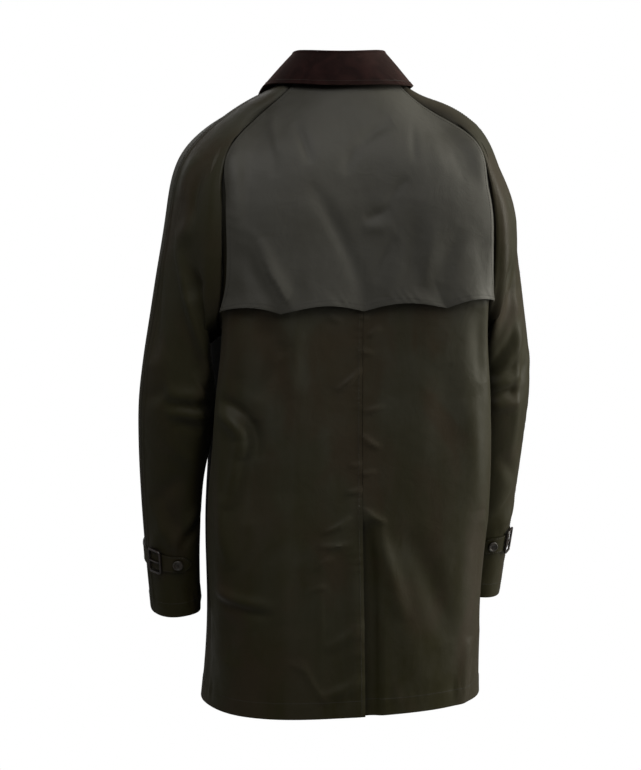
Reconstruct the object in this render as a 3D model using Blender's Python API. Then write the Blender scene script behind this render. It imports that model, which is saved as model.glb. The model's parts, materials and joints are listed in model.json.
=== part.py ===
"""Three-quarter waxed cotton coat with a storm cape, hollow, in the pose of its wearer.

Metres, +Z up. The coat faces -Y, so its own left side is at +X. The origin is the
middle of the neck opening at the height of the collar seam at the centre back.
Every cloth piece is a wall of even thickness, raised on a surface that is worked out
from the sections below, and neighbouring pieces stand one seam gap apart.
"""

import math

import bpy
import numpy as np

COAT = "waxed_coat"

# Cloth
CLOTH = 0.0012            # waxed cotton wall
CORD_CLOTH = 0.0024       # corduroy of the collar, two plies
STRAP_CLOTH = 0.0020      # cuff strap, two plies
SEAM_GAP = 0.0003         # between neighbouring pieces
SEAM_SPARE = 0.00003      # drawn in beyond half the gap on each side
LAYER_GAP = 0.0004        # between a panel and the piece that lies on it

# Stance: the left shoulder is carried a little lower than the right one
STANCE_DROP = 0.014       # fall in height for each metre towards the left
SHOULDER_IN = 0.0      # the right shoulder is carried in by this much
SHOULDER_HEIGHT = -0.122  # where it is most
SHOULDER_SPREAD = 0.052   # above and below, down to a third of it
SHOULDER_FROM, SHOULDER_TO = 0.130, 0.235  # it grows between these distances from the middle
NECK_DROP = 0.0065         # the right side of the neck lies lower by this much
NECK_DROP_PLACE = 0.102    # so far from the middle
NECK_DROP_SPREAD = 0.042   # to both sides of there, down to a third of it
NECK_DROP_FULL, NECK_DROP_NONE = -0.080, -0.170  # in full above one height, none below the other

# How finely the panels are divided
ARMHOLE_ROWS = 10         # back or front neck point to underarm
WAIST_ROWS = 5            # underarm to the top of the vent
SKIRT_ROWS = 5            # top of the vent to the hem
PANEL_COLUMNS = 5         # columns outside the strip beside the centre line
SECTION_SAMPLES = 80      # fine samples that an even division is read from

# Openings and overlaps
VENT_TOP = -0.621
VENT_UNDERLAP = 0.045     # the right back goes this far under the left one
FRONT_OVERLAP = 0.028     # each front passes the centre line by this much
STRIP_WIDTH = 0.030       # first columns beside the centre line
STRIP_SHARE = 0.14        # or this share of a short row
UNDER_LAYER = 0.0020      # how far an under layer lies inside the one over it
UNDER_LAYER_EDGE = 0.9    # share of that step at the column that comes out from under

# The form of the body: its outline at each height passes through nine places, from the
# centre back round the left side to the centre front.
PLACES = ("centre_back", "blade", "back_corner", "back_flank", "side",
          "front_flank", "front_corner", "breast", "centre_front")
BODY_OUTLINES = {
    "height":         (0.012, -0.020, -0.050, -0.100, -0.160, -0.240, -0.300, -0.350, -0.450, -0.590, -0.730, -0.872),
    "centre_back_y":  (0.056,  0.081,  0.102,  0.130,  0.143,  0.147,  0.147,  0.146,  0.145,  0.147,  0.154,  0.163),
    "blade_x":        (0.030,  0.042,  0.062,  0.085,  0.095,  0.098,  0.098,  0.098,  0.098,  0.096,  0.094,  0.092),
    "blade_y":        (0.050,  0.075,  0.097,  0.131,  0.147,  0.151,  0.150,  0.148,  0.145,  0.144,  0.148,  0.154),
    "back_corner_x":  (0.056,  0.080,  0.106,  0.139,  0.152,  0.158,  0.163,  0.166,  0.167,  0.165,  0.156,  0.150),
    "back_corner_y":  (0.034,  0.054,  0.074,  0.116,  0.139,  0.143,  0.140,  0.136,  0.131,  0.127,  0.127,  0.126),
    "back_flank_x":   (0.056,  0.096,  0.131,  0.177,  0.186,  0.188,  0.185,  0.185,  0.193,  0.195,  0.186,  0.184),
    "back_flank_y":   (0.009,  0.022,  0.047,  0.102,  0.118,  0.119,  0.112,  0.103,  0.093,  0.087,  0.085,  0.080),
    "side_x":         (0.050,  0.084,  0.115,  0.150,  0.164,  0.168,  0.168,  0.166,  0.160,  0.169,  0.180,  0.198),
    "side_y":         (-0.010, -0.010, 0.000,  0.010,  0.018,  0.024,  0.026,  0.025,  0.012,  0.002,  0.002,  0.010),
    "front_flank_x":  (0.044,  0.073,  0.112,  0.155,  0.172,  0.180,  0.179,  0.176,  0.172,  0.170,  0.174,  0.184),
    "front_flank_y":  (-0.018, -0.037, -0.067, -0.096, -0.105, -0.100, -0.088, -0.075, -0.062, -0.060, -0.060, -0.060),
    "front_corner_x": (0.046,  0.054,  0.064,  0.108,  0.130,  0.145,  0.148,  0.150,  0.150,  0.147,  0.146,  0.148),
    "front_corner_y": (-0.026, -0.044, -0.066, -0.099, -0.117, -0.122, -0.118, -0.113, -0.106, -0.104, -0.106, -0.110),
    "breast_x":       (0.026,  0.027,  0.030,  0.055,  0.075,  0.088,  0.090,  0.090,  0.090,  0.090,  0.090,  0.090),
    "breast_y":       (-0.024, -0.042, -0.064, -0.095, -0.121, -0.134, -0.136, -0.137, -0.136, -0.135, -0.136, -0.139),
    "centre_front_y": (-0.018, -0.036, -0.059, -0.092, -0.118, -0.133, -0.137, -0.139, -0.140, -0.140, -0.142, -0.146),
}
NECK_BACK = 0.000         # heights of the neck seam: centre back, over the shoulder
NECK_SHOULDER = -0.010
NECK_FRONT = -0.075       # and centre front
NECK_CURVE = 1.5          # how the neck line rises from the centre to the raglan seam

# Raglan seams, from the neck down to the underarm, by height and place on the body
RAGLAN_BACK = {
    "height": (-0.001, -0.022, -0.053, -0.080, -0.108, -0.160, -0.230, -0.285, -0.322, -0.350),
    "place":  (2.00,    2.12,   2.52,   2.83,   2.92,   2.82,   2.74,   2.78,   3.12,   4.00),
}
RAGLAN_FRONT = {
    "height": (-0.019, -0.064, -0.102, -0.148, -0.200, -0.264, -0.326, -0.350),
    "place":  (5.00,    5.00,   5.00,   5.00,   5.00,   4.95,   4.65,   4.00),
}

# Sleeve rings on the left, from the shoulder to the cuff: where each ring crosses the
# lines over, under, behind and before the arm, and how far its back hangs lower.
SLEEVE_RINGS = {
    "over_x":  (0.178,  0.212,  0.231,  0.242,  0.254,  0.2655,
                0.276,  0.2805, 0.278,  0.2725, 0.265,  0.257),
    "over_z":  (-0.062, -0.091, -0.132, -0.188, -0.250, -0.320,
                -0.390, -0.450, -0.520, -0.600, -0.680, -0.754),
    "under_x": (0.1910, 0.1900, 0.1870, 0.1840, 0.1810, 0.1780,
                0.1765, 0.1775, 0.1805, 0.1820, 0.1815, 0.1780),
    "under_z": (-0.370, -0.380, -0.391, -0.404, -0.420, -0.442,
                -0.470, -0.503, -0.550, -0.613, -0.680, -0.743),
    "mid_y":   (0.014,  0.008,  0.004,  0.002,  0.000, -0.003,
                -0.008, -0.018, -0.036, -0.052, -0.066, -0.076),
    "back_x":  (0.212,  0.216,  0.216,  0.2145, 0.213,  0.2155,
                0.220,  0.225,  0.2265, 0.2245, 0.2205, 0.2155),
    "back_y":  (0.128,  0.118,  0.107,  0.096,  0.086,  0.076,
                0.067,  0.055,  0.032,  0.009, -0.011, -0.024),
    "front_x": (0.204,  0.209,  0.2105, 0.211,  0.2105, 0.213,
                0.2185, 0.2245, 0.2265, 0.2245, 0.2205, 0.2155),
    "front_y": (-0.112, -0.104, -0.094, -0.085, -0.078, -0.075,
                -0.076, -0.085, -0.100, -0.110, -0.121, -0.128),
    "dip":     (0.000,  0.000,  0.000,  0.000,  0.000,  0.000,
                0.002,  0.004,  0.006,  0.008,  0.009,  0.009),
}
CAP_ROWS = (0.30, 0.65)   # rows between the raglan seam and the first ring, as shares of the way
CAP_BULGE = 0.008         # how far the head of the sleeve rounds out over the shoulder
CAP_ROLL = 0.007          # and how far it rolls out beside the raglan seam, half way down
CAP_RINGS = 1             # the last ring whose columns follow the raglan seam's heights
SLEEVE_CLEARANCE = 0.0068 # between the surfaces of a sleeve and the body
SLEEVE_SQUARENESS = 2.25  # exponent of the rings' outline, 2 is an ellipse
OVER_ARM_TURN = 0.20      # the seam over the arm lies this far (radians) behind the outermost line

# Collar, a row for each station from the centre back round to the front edge
COLLAR_STATIONS = {
    "place":  (0.00,   0.80,   1.75,   3.00,    4.10,    5.45,   7.00,   7.80),
    "fold_x": (0.000,  0.026,  0.049,  0.0615,  0.0600,  0.051,  0.033,  0.010),
    "fold_y": (0.061,  0.055,  0.037,  0.0120, -0.0170, -0.052, -0.076, -0.0890),
    "fold_z": (0.0335, 0.034,  0.0350, 0.0345,  0.0290,  0.009, -0.017, -0.0390),
    "edge_x": (0.000,  0.041,  0.080,  0.1015,  0.1045,  0.101,  0.088,  0.0640),
    "edge_y": (0.087,  0.083,  0.060,  0.0200, -0.0220, -0.066, -0.093, -0.1060),
    "edge_z": (-0.012, -0.0114, -0.0092, -0.0103, -0.0180, -0.036, -0.067, -0.1020),
}
COLLAR_STEPS = 4          # columns from one station to the next
COLLAR_RISE = 0.0033      # middle of the stand's lower edge, above the neck seam
FALL_ROWS = (0.33, 0.67, 1.0)  # rows of the fall, as shares of the way from fold to edge
FALL_BELLY = 0.0030       # how far the fall rounds out between fold and edge
BELLY_OUT, BELLY_UP = 0.8, 0.6  # the way in which it does
BELLY_LOST = 0.75               # the share of it that is lost at the sides of the neck,
BELLY_LOST_BY = 3.0             # from this station on
FOLD_RADIUS = 0.0022      # stand to fall, half the clear space at the fold
FOLD_DROP = 1.2           # both sides of the fold start this far below it, in fold radii
TURN_OUT, TURN_DROP = 0.7, 0.3  # points half way round the fold: aside and below, in fold radii

# Storm cape
CAPE_TOP = 0.08           # its upper edge, in rows of the back panel
CAPE_ROWS = 8             # the last row of the back panel above its hem
CAPE_HEM = -0.314         # height of the points of the hem, between the arches
CAPE_GAP = 0.0008         # clear space under the cape at its seams
CAPE_ARCHES = 4
CAPE_ARCH_RISE = 0.0095
CAPE_STAND_OFF = 0.0045   # hem of the cape, clear of the back
CAPE_INSET = 0.0060       # its side edge, in from the raglan seam at the shoulder
CAPE_HEM_INSET = 0.0140   # and at the hem
CAPE_INSET_CURVE = 3.0    # how late the inset grows on the way down
CAPE_LIFT_CURVE = 1.5     # and how late the cape stands off

# Cuff straps, with their buckles and buttons
STRAP_HEIGHT = -0.672     # middle of the strap on the outer side
STRAP_WIDTH = 0.026
STRAP_START = -0.118      # way round from the seam over the arm, backward
STRAP_TIP = 0.079
STRAP_POINT = 0.012       # length of the pointed tip
STRAP_POINT_WIDTH = 0.45  # share of the width left at its end
STRAP_POINT_BACK = 0.33   # its corners lie back from its middle by this share of its length
STRAP_COLUMN_SPARE = 0.002  # least distance from an end to a fold of the sleeve under it
BUCKLE_PLACE = 0.024
BUCKLE_LENGTH = 0.022     # along the strap
BUCKLE_HEIGHT = 0.033     # across it
BUCKLE_CORNER = 0.004
CORNER_STEPS = 3          # round each of its corners
WIRE_RESOLUTION = 2       # and round each quarter of the wire
BUCKLE_WIRE = 0.0017      # radius
PRONG_WIRE = 0.0012
CUFF_BUTTON_PLACE = 0.059
CUFF_BUTTON_RADIUS = 0.0075
FRONT_BUTTON_RADIUS = 0.0110
BUTTON_HEIGHT = 0.0030
BUTTON_STEPS = 18
BUTTON_PROFILE = {        # from the middle of the back round the rim, in radii and heights
    "across": (0.0, 0.75, 0.97, 1.00, 0.90, 0.70, 0.55, 0.0),
    "height": (0.0, 0.00, 0.25, 0.55, 0.95, 1.00, 0.70, 0.62),
}
FRONT_BUTTON_HEIGHTS = (-0.115, -0.255, -0.395, -0.535)

OLIVE = (0.028, 0.026, 0.016, 1.0)
GREY_OLIVE = (0.036, 0.034, 0.027, 1.0)
DARK_BROWN = (0.016, 0.009, 0.008, 1.0)
HORN = (0.022, 0.014, 0.010, 1.0)


# --- Curves through a few sizes ------------------------------------------------------

def smooth(places, values, at):
    """Read a column of a table between its rows, on a curve without corners."""
    x = np.asarray(places, float)
    y = np.asarray(values, float)
    if x[0] > x[-1]:
        x, y = x[::-1], y[::-1]
    step = np.diff(x)
    rise = np.diff(y) / step
    slope = np.empty_like(y)
    slope[1:-1] = (rise[:-1] * step[1:] + rise[1:] * step[:-1]) / (step[1:] + step[:-1])
    slope[0] = 1.5 * rise[0] - 0.5 * slope[1]
    slope[-1] = 1.5 * rise[-1] - 0.5 * slope[-2]
    at = np.clip(np.asarray(at, float), x[0], x[-1])
    low = np.clip(np.searchsorted(x, at) - 1, 0, len(step) - 1)
    t = (at - x[low]) / step[low]
    width = step[low]
    return ((1 + 2 * t) * (1 - t) ** 2 * y[low] + t * (1 - t) ** 2 * width * slope[low]
            + t * t * (3 - 2 * t) * y[low + 1] + t * t * (t - 1) * width * slope[low + 1])


def ease(t):
    """Rise from 0 to 1 with level ends."""
    t = np.clip(t, 0.0, 1.0)
    return t * t * (3 - 2 * t)


def run(points):
    """Length along a line of points, from 0 at its start."""
    legs = np.linalg.norm(np.diff(points, axis=0), axis=1)
    return np.concatenate(([0.0], np.cumsum(legs)))


def spaced(line, fractions):
    """Points of a line at fractions of its length."""
    along = run(line)
    at = np.asarray(fractions) * along[-1]
    return np.stack([np.interp(at, along, line[:, axis]) for axis in range(line.shape[1])], axis=1)


# --- Body ---------------------------------------------------------------------------

def body_points(heights, places):
    """Points on the form of the body at heights and places round its left half."""
    zero = np.zeros(len(heights))
    read = {name: smooth(BODY_OUTLINES["height"], column, heights)
            for name, column in BODY_OUTLINES.items()}
    half = [np.stack([read.get(name + "_x", zero), read[name + "_y"]], axis=1) for name in PLACES]
    knots = np.stack([mirrored(half[1]), *half, mirrored(half[-2])], axis=1)
    low = np.clip(np.asarray(places).astype(int), 0, len(PLACES) - 2)
    t = (places - low)[:, None]
    a, b, c, d = (knots[np.arange(len(low)), low + step] for step in range(4))
    plan = b + 0.5 * t * (c - a + t * (2 * a - 5 * b + 4 * c - d + t * (3 * (b - c) + d - a)))
    return np.column_stack((plan, heights))


def seam_line(raglan, fractions):
    """Heights and places of a raglan seam at fractions of its length."""
    rows = range(len(raglan["height"]))
    fine = np.linspace(0, rows[-1], SECTION_SAMPLES)
    heights = smooth(rows, raglan["height"], fine)
    places = smooth(rows, raglan["place"], fine)
    along = run(body_points(heights, places))
    at = np.asarray(fractions) * along[-1]
    return np.interp(at, along, heights), np.interp(at, along, places)


def panel_rows(raglan, centre, neck, columns):
    """Rows of a back or front panel from its centre line to its edge, neck to hem.

    centre is the centre line's place and neck its height at the neck; columns is a rule
    that gives the distances of the columns for a row's length.
    """
    edge_heights, edge_places = seam_line(raglan, np.linspace(0, 1, ARMHOLE_ROWS + 1))
    underarm, hem = edge_heights[-1], BODY_OUTLINES["height"][-1]
    below = np.concatenate((np.linspace(underarm, VENT_TOP, WAIST_ROWS + 1)[1:],
                            np.linspace(VENT_TOP, hem, SKIRT_ROWS + 1)[1:]))
    centre_heights = np.concatenate((np.linspace(neck, underarm, ARMHOLE_ROWS + 1), below))
    edge_heights = np.concatenate((edge_heights, below))
    edge_places = np.concatenate((edge_places, np.full(len(below), edge_places[-1])))
    rows = []
    t = np.linspace(0, 1, SECTION_SAMPLES)
    for low, high, place_out in zip(centre_heights, edge_heights, edge_places):
        path = body_points(low + (high - low) * t ** NECK_CURVE, centre + (place_out - centre) * t)
        length = run(path)[-1]
        fractions = columns(length) / length
        row = spaced(path, np.abs(fractions))
        row[:, 0] *= np.where(fractions < 0, -1, 1)
        rows.append(row)
    return np.array(rows)


def strip_columns(past):
    """Rule for a panel's columns: past the centre line, a strip beside it, then evenly.

    past lists how far the columns past the centre line reach; short rows shrink them.
    """
    def columns(length):
        shrink = min(1.0, STRIP_SHARE * length / STRIP_WIDTH)
        beside = shrink * np.array([0.0, STRIP_WIDTH, 2 * STRIP_WIDTH])
        wide = np.linspace(beside[-1], length, PANEL_COLUMNS + 1)[1:]
        return np.concatenate((-shrink * np.array(past), beside, wide))
    return columns


def sunk(points, normals, columns_in, rows_in):
    """Move points to the inner side of the form, by the step of an under layer."""
    depth = UNDER_LAYER * rows_in[:, None] * columns_in[None, :]
    return points - depth[:, :, None] * normals


def body_panels():
    """Left and right backs, lapped at the vent, and the two lapped fronts."""
    vent_row = ARMHOLE_ROWS + WAIST_ROWS
    rows = ARMHOLE_ROWS + WAIST_ROWS + SKIRT_ROWS + 1

    back_left = panel_rows(RAGLAN_BACK, 0, NECK_BACK, strip_columns([]))
    under = strip_columns([VENT_UNDERLAP, VENT_UNDERLAP / 2])
    back_right = panel_rows(RAGLAN_BACK, 0, NECK_BACK, under)
    inward = np.array([1, 1, 1, UNDER_LAYER_EDGE] + [0] * (PANEL_COLUMNS + 1))
    below = (np.arange(rows) >= vent_row).astype(float)
    back_right = sunk(back_right, grid_normals(back_right, False), inward, below)

    lapped = strip_columns([FRONT_OVERLAP])
    front = panel_rows(RAGLAN_FRONT, len(PLACES) - 1, NECK_FRONT, lapped)
    inward = np.array([1, 1, 1] + [0] * (PANEL_COLUMNS + 1))
    front_under = sunk(front, grid_normals(front, True), inward, np.ones(rows))
    return [
        Piece("back_left", back_left),
        Piece("back_right", mirrored(back_right), flip=True,
              skip=lambda i, j: i < vent_row and j < 2),
        Piece("front_left", front, flip=True),
        Piece("front_right", mirrored(front_under)),
    ], back_left, front


# --- Sleeves ------------------------------------------------------------------------

def first_ring(raglan):
    """First row of a sleeve half: from the shoulder along the neck, then down the seam."""
    side, seam = PLACES.index("side"), raglan["place"][0]
    neck = np.arange(side, seam, math.copysign(1, seam - side))
    heights, places = seam_line(raglan, np.linspace(0, 1, ARMHOLE_ROWS + 1))
    return np.concatenate((body_points(neck_point_heights(neck), neck), body_points(heights, places)))


def kept_clear(points, least):
    """Move points that lie nearer to the body than the least distance straight out from it."""
    places = np.linspace(0, len(PLACES) - 1, SECTION_SAMPLES)
    moved = points.copy()
    for number, point in enumerate(points):
        outline = body_points(np.full(len(places), point[2]), places)[:, :2]
        nearest = np.argmin(np.linalg.norm(outline - point[:2], axis=1))
        nearest = min(max(nearest, 1), len(places) - 2)
        ahead = outline[nearest + 1] - outline[nearest - 1]
        outward = np.array([-ahead[1], ahead[0]]) / np.linalg.norm(ahead)
        spare = (point[:2] - outline[nearest]) @ outward - least
        moved[number, :2] += outward * (math.hypot(spare, least) - spare) / 2
    return moved


def column_shares(number, first):
    """How a ring shares its turn among the columns.

    Near the shoulder the columns keep the heights of the seam they grow from; further
    down the arm they lie evenly.
    """
    even = np.arange(len(first)) / (len(first) - 1)
    top = SLEEVE_RINGS["over_z"][min(number, CAP_RINGS)]
    fall = np.clip((top - first[:, 2]) / (top - first[-1, 2]), 0, 1)
    by_height = (np.arccos(1 - 2 * fall) / math.pi + even) / 2
    arm = len(SLEEVE_RINGS["over_x"]) // 2
    return by_height + (even - by_height) * ease(number / arm)


def ring_points(number, turns, way):
    """Points of a sleeve ring; turns run from the outermost line, way is +1 to the back."""
    places = range(len(SLEEVE_RINGS["over_x"]))
    ring = {name: float(smooth(places, column, number)) for name, column in SLEEVE_RINGS.items()}
    over = np.array([ring["over_x"], ring["mid_y"], ring["over_z"]])
    under = np.array([ring["under_x"], ring["mid_y"], ring["under_z"]])
    middle = (over + under) / 2
    back = np.array([ring["back_x"], ring["back_y"], middle[2] - ring["dip"]])
    front = np.array([ring["front_x"], ring["front_y"], middle[2] + ring["dip"]])
    power = 2 / SLEEVE_SQUARENESS
    along = np.sign(np.cos(turns)) * np.abs(np.cos(turns)) ** power
    aside = np.abs(np.sin(turns)) ** power
    reach = np.where((np.sin(turns) * way >= 0)[:, None], back - middle, front - middle)
    return middle + (over - under) / 2 * along[:, None] + reach * aside[:, None]


def sleeve_rows(raglan, way):
    """Rows of the back (way 1) or front (way -1) half of the left sleeve."""
    first = first_ring(raglan)
    start = OVER_ARM_TURN * way
    rings = []
    for number in range(len(SLEEVE_RINGS["over_x"])):
        turns = start + (math.pi - start) * column_shares(number, first)
        rings.append(kept_clear(ring_points(number, turns, way), SLEEVE_CLEARANCE))
    outward = rings[0] - rings[0][[0, -1]].mean(axis=0)
    outward /= np.linalg.norm(outward, axis=1, keepdims=True)
    down = np.linspace(0, 1, len(first))
    rows = [first]
    for share in CAP_ROWS:
        bulge = CAP_BULGE * (1 - down) * math.sin(math.pi * share ** 2)
        roll = CAP_ROLL * np.sin(math.pi * down) ** 2 * math.sin(math.pi * math.sqrt(share))
        between = first + (rings[0] - first) * share + (bulge + roll)[:, None] * outward
        rows.append(kept_clear(between, SLEEVE_CLEARANCE))
    return np.array(rows + rings)


def on_grid(points, normals, row, column, lift):
    """A place on a faceted panel, in rows and columns of its grid, moved outward."""
    i = min(int(row), points.shape[0] - 2)
    j = min(int(column), points.shape[1] - 2)
    v, u = row - i, column - j
    weights = ((1 - v) * (1 - u), (1 - v) * u, v * (1 - u), v * u)
    corners = ((i, j), (i, j + 1), (i + 1, j), (i + 1, j + 1))
    spot = sum(weight * points[corner] for weight, corner in zip(weights, corners))
    outward = sum(weight * normals[corner] for weight, corner in zip(weights, corners))
    outward = outward / np.linalg.norm(outward)
    return spot + lift * outward, outward


# --- Walls --------------------------------------------------------------------------

def grid_normals(points, flip):
    """Outward normals of a grid of points."""
    return Piece("grid", points, flip=flip).normals.reshape(points.shape)


class Piece:
    """One cut piece: a grid of points with an outer side, raised to a wall later."""

    def __init__(self, name, points, colour=OLIVE, thickness=CLOTH, flip=False, skip=None):
        self.name = name
        self.colour = colour
        self.thickness = thickness
        rows, columns = points.shape[:2]
        self.points = points.reshape(-1, 3).copy()
        self.faces = []
        for i in range(rows - 1):
            for j in range(columns - 1):
                if skip is not None and skip(i, j):
                    continue
                a = i * columns + j
                face = (a, a + 1, a + columns + 1, a + columns)
                self.faces.append(face[::-1] if flip else face)
        self.normals = self.face_normals()

    def face_normals(self):
        """Outward normal at each point, from the faces around it."""
        total = np.zeros_like(self.points)
        for face in self.faces:
            a, b, c, d = (self.points[k] for k in face)
            across = np.cross(c - a, d - b)
            for k in face:
                total[k] += across
        size = np.linalg.norm(total, axis=1, keepdims=True)
        return total / np.where(size > 0, size, 1)

    def border(self):
        """Edges with one face, in that face's direction, with the way into the face."""
        owner = {}
        for face in self.faces:
            for k in range(4):
                owner[(face[k], face[(k + 1) % 4])] = face
        edges = []
        for (a, b), face in owner.items():
            if (b, a) not in owner:
                far = [k for k in face if k not in (a, b)]
                inward = self.points[far].mean(axis=0) - self.points[[a, b]].mean(axis=0)
                along = self.points[b] - self.points[a]
                inward -= along * (inward @ along) / (along @ along)
                edges.append((a, b, inward / np.linalg.norm(inward)))
        return edges

    def pull_in(self, distance):
        """Draw the edges of the piece in, so that neighbours stand apart."""
        ways = {}
        for a, b, inward in self.border():
            ways.setdefault(a, []).append(inward)
            ways.setdefault(b, []).append(inward)
        for point, pair in ways.items():
            if len(pair) == 2:
                self.points[point] += distance * (pair[0] + pair[1]) / (1 + pair[0] @ pair[1])

    def halves(self, face):
        """The two triangles of a face, cut along its shorter diagonal."""
        a, b, c, d = face
        across = np.linalg.norm(self.points[a] - self.points[c])
        if across < np.linalg.norm(self.points[b] - self.points[d]):
            return (a, b, c), (a, c, d)
        return (a, b, d), (b, c, d)

    def build(self, collection):
        """Make the wall: the outer side, the inner side and the rim between them."""
        triangles = [part for face in self.faces for part in self.halves(face)]
        used = sorted({k for face in self.faces for k in face})
        place = {k: number for number, k in enumerate(used)}
        half = self.thickness / 2
        outer = [tuple(self.points[k] + half * self.normals[k]) for k in used]
        inner = [tuple(self.points[k] - half * self.normals[k]) for k in used]
        count = len(used)
        faces = [tuple(place[k] for k in face) for face in triangles]
        faces += [tuple(place[k] + count for k in reversed(face)) for face in triangles]
        faces += [(place[b], place[a], place[a] + count, place[b] + count)
                  for a, b, _ in self.border()]
        mesh = bpy.data.meshes.new(self.name)
        mesh.from_pydata(outer + inner, [], faces)
        mesh.validate()
        mesh.shade_smooth()
        return add_object(self.name, mesh, self.colour, collection)


def add_object(name, mesh, colour, collection, roughness=0.5):
    """Link a mesh to the coat as a node with a material of its own."""
    material = bpy.data.materials.new(name)
    material.use_nodes = True
    shader = material.node_tree.nodes["Principled BSDF"]
    shader.inputs["Base Color"].default_value = colour
    shader.inputs["Roughness"].default_value = roughness
    mesh.materials.clear()
    mesh.materials.append(material)
    item = bpy.data.objects.new(name, mesh)
    collection.objects.link(item)
    return item


def mirrored(points):
    """Points on the other side of the coat, in plan or in space."""
    return points * np.array([-1.0, 1.0, 1.0])[:points.shape[-1]]


def sew(pieces):
    """Give neighbours one normal at each seam point, and part them by the seam gap.

    At a fold the normal turns towards the middle of the groove or the ridge, so that the
    walls on its two sides stay apart however sharp it is.
    """
    ends = []
    for piece in pieces:
        inward = {}
        for a, b, way in piece.border():
            for k in (a, b):
                inward[k] = inward.get(k, 0) + way
        ends += [(piece, k, way / np.linalg.norm(way)) for k, way in inward.items()]
    places = np.array([piece.points[k] for piece, k, _ in ends])
    normals = np.array([piece.normals[k] for piece, k, _ in ends])
    ways = np.array([way for _, _, way in ends])
    for number, (piece, k, way) in enumerate(ends):
        near = np.linalg.norm(places - places[number], axis=1) < SEAM_GAP
        if near.sum() < 2:
            continue
        facing = ways[near].sum(axis=0)
        middle = normals[near].sum(axis=0)
        total = middle + math.copysign(1.0, facing @ middle) * facing
        piece.normals[k] = total / np.linalg.norm(total)
    for piece in pieces:
        piece.pull_in(SEAM_GAP / 2 + SEAM_SPARE)


# --- Storm cape ---------------------------------------------------------------------

def storm_cape(back):
    """One piece over both backs, made from their points moved out, free at its arched hem."""
    normals = grid_normals(back, False)
    last = back.shape[1] - 1
    middle = ARMHOLE_ROWS // 2
    edge_step = np.linalg.norm(back[middle, last] - back[middle, last - 1])
    rows = []
    for depth in (CAPE_TOP, *range(1, CAPE_ROWS + 1), None):
        down = (CAPE_ROWS + 1 if depth is None else depth) / (CAPE_ROWS + 1)
        inset = CAPE_INSET + (CAPE_HEM_INSET - CAPE_INSET) * down ** CAPE_INSET_CURVE
        line = []
        for number, column in enumerate((*range(last), last - inset / edge_step)):
            row = depth
            if depth is None:
                above, _ = on_grid(back, normals, CAPE_ROWS, column, 0.0)
                below, _ = on_grid(back, normals, CAPE_ROWS + 1, column, 0.0)
                arch = abs(math.sin(math.pi * number / last * CAPE_ARCHES / 2))
                hem = CAPE_HEM + CAPE_ARCH_RISE * arch
                row = CAPE_ROWS + (above[2] - hem) / (above[2] - below[2])
            lift = CLOTH + CAPE_GAP + CAPE_STAND_OFF * down ** CAPE_LIFT_CURVE
            line.append(on_grid(back, normals, row, column, lift)[0])
        rows.append(both_sides(np.array(line)))
    return Piece("storm_cape", np.array(rows), colour=GREY_OLIVE)


# --- Collar -------------------------------------------------------------------------

def both_sides(half):
    """A line of points from the centre back, with its mirror image before it."""
    return np.concatenate((mirrored(half[:0:-1]), half))


def neck_point_heights(places):
    """Height of the neck seam at places round the body."""
    seam_back, seam_front = RAGLAN_BACK["height"][0], RAGLAN_FRONT["height"][0]
    first, shoulder, last = RAGLAN_BACK["place"][0], PLACES.index("side"), RAGLAN_FRONT["place"][0]
    centre = len(PLACES) - 1
    back = NECK_BACK + (seam_back - NECK_BACK) * (np.clip(places / first, 0, 1)) ** NECK_CURVE
    ahead = np.clip((centre - places) / (centre - last), 0, 1)
    front = NECK_FRONT + (seam_front - NECK_FRONT) * ahead ** NECK_CURVE
    over = np.interp(places, (first, shoulder, last), (seam_back, NECK_SHOULDER, seam_front))
    return np.where(places < first, back, np.where(places > last, front, over))


def collar_line(name, at):
    """Points of one of the collar's lines; stations below 0 are on the right."""
    half = np.stack([COLLAR_STATIONS[name + axis] for axis in ("_x", "_y", "_z")], axis=1)
    whole = both_sides(half)
    stations = np.arange(1 - len(half), len(half))
    return np.stack([smooth(stations, whole[:, axis], at) for axis in range(3)], axis=1)


def collar_neck(at):
    """Points of the neck seam at the collar's stations."""
    stations = range(len(COLLAR_STATIONS["place"]))
    places = smooth(stations, COLLAR_STATIONS["place"], np.abs(at))
    points = body_points(neck_point_heights(places), places)
    points[:, 0] *= np.where(at < 0, -1, 1)
    return points


def collar():
    """Stand from the neck seam to the fold, and fall from the fold to the outer edge."""
    last = len(COLLAR_STATIONS["place"]) - 1
    at = np.linspace(-last, last, COLLAR_STEPS * last + 1)
    neck, fold, edge = collar_neck(at), collar_line("fold", at), collar_line("edge", at)
    ahead = np.gradient(fold, axis=0)
    out = np.stack([-ahead[:, 1], ahead[:, 0], np.zeros(len(at))], axis=1)
    out /= -np.linalg.norm(out, axis=1, keepdims=True)
    out *= np.sign(out[len(at) // 2, 1])
    up = np.array([0.0, 0.0, 1.0])
    top = fold - FOLD_RADIUS * (out + FOLD_DROP * up)
    foot = neck + COLLAR_RISE * up
    stand = np.array([foot, (foot + top) / 2, top - 2 * SEAM_GAP * up])
    turn = fold + FOLD_RADIUS * (out - FOLD_DROP * up)
    fall = [top, fold - FOLD_RADIUS * (TURN_OUT * out + TURN_DROP * up),
            fold + FOLD_RADIUS * (TURN_OUT * out - TURN_DROP * up), turn]
    kept = 1 - BELLY_LOST * ease(np.abs(at) / BELLY_LOST_BY)
    for share in FALL_ROWS:
        belly = FALL_BELLY * math.sin(math.pi * share) * kept[:, None]
        fall.append(turn + (edge - turn) * share + belly * (BELLY_OUT * out + BELLY_UP * up))
    stand = Piece("collar_stand", stand, colour=DARK_BROWN, thickness=CORD_CLOTH)
    fall = Piece("collar_fall", np.array(fall), colour=DARK_BROWN, thickness=CORD_CLOTH)
    stand.normals[-len(at):] = out * np.sign((stand.normals[-len(at):] * out).sum())
    fall.normals[:len(at)] = out * np.sign((fall.normals[:len(at)] * out).sum())
    return [stand, fall]


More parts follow.
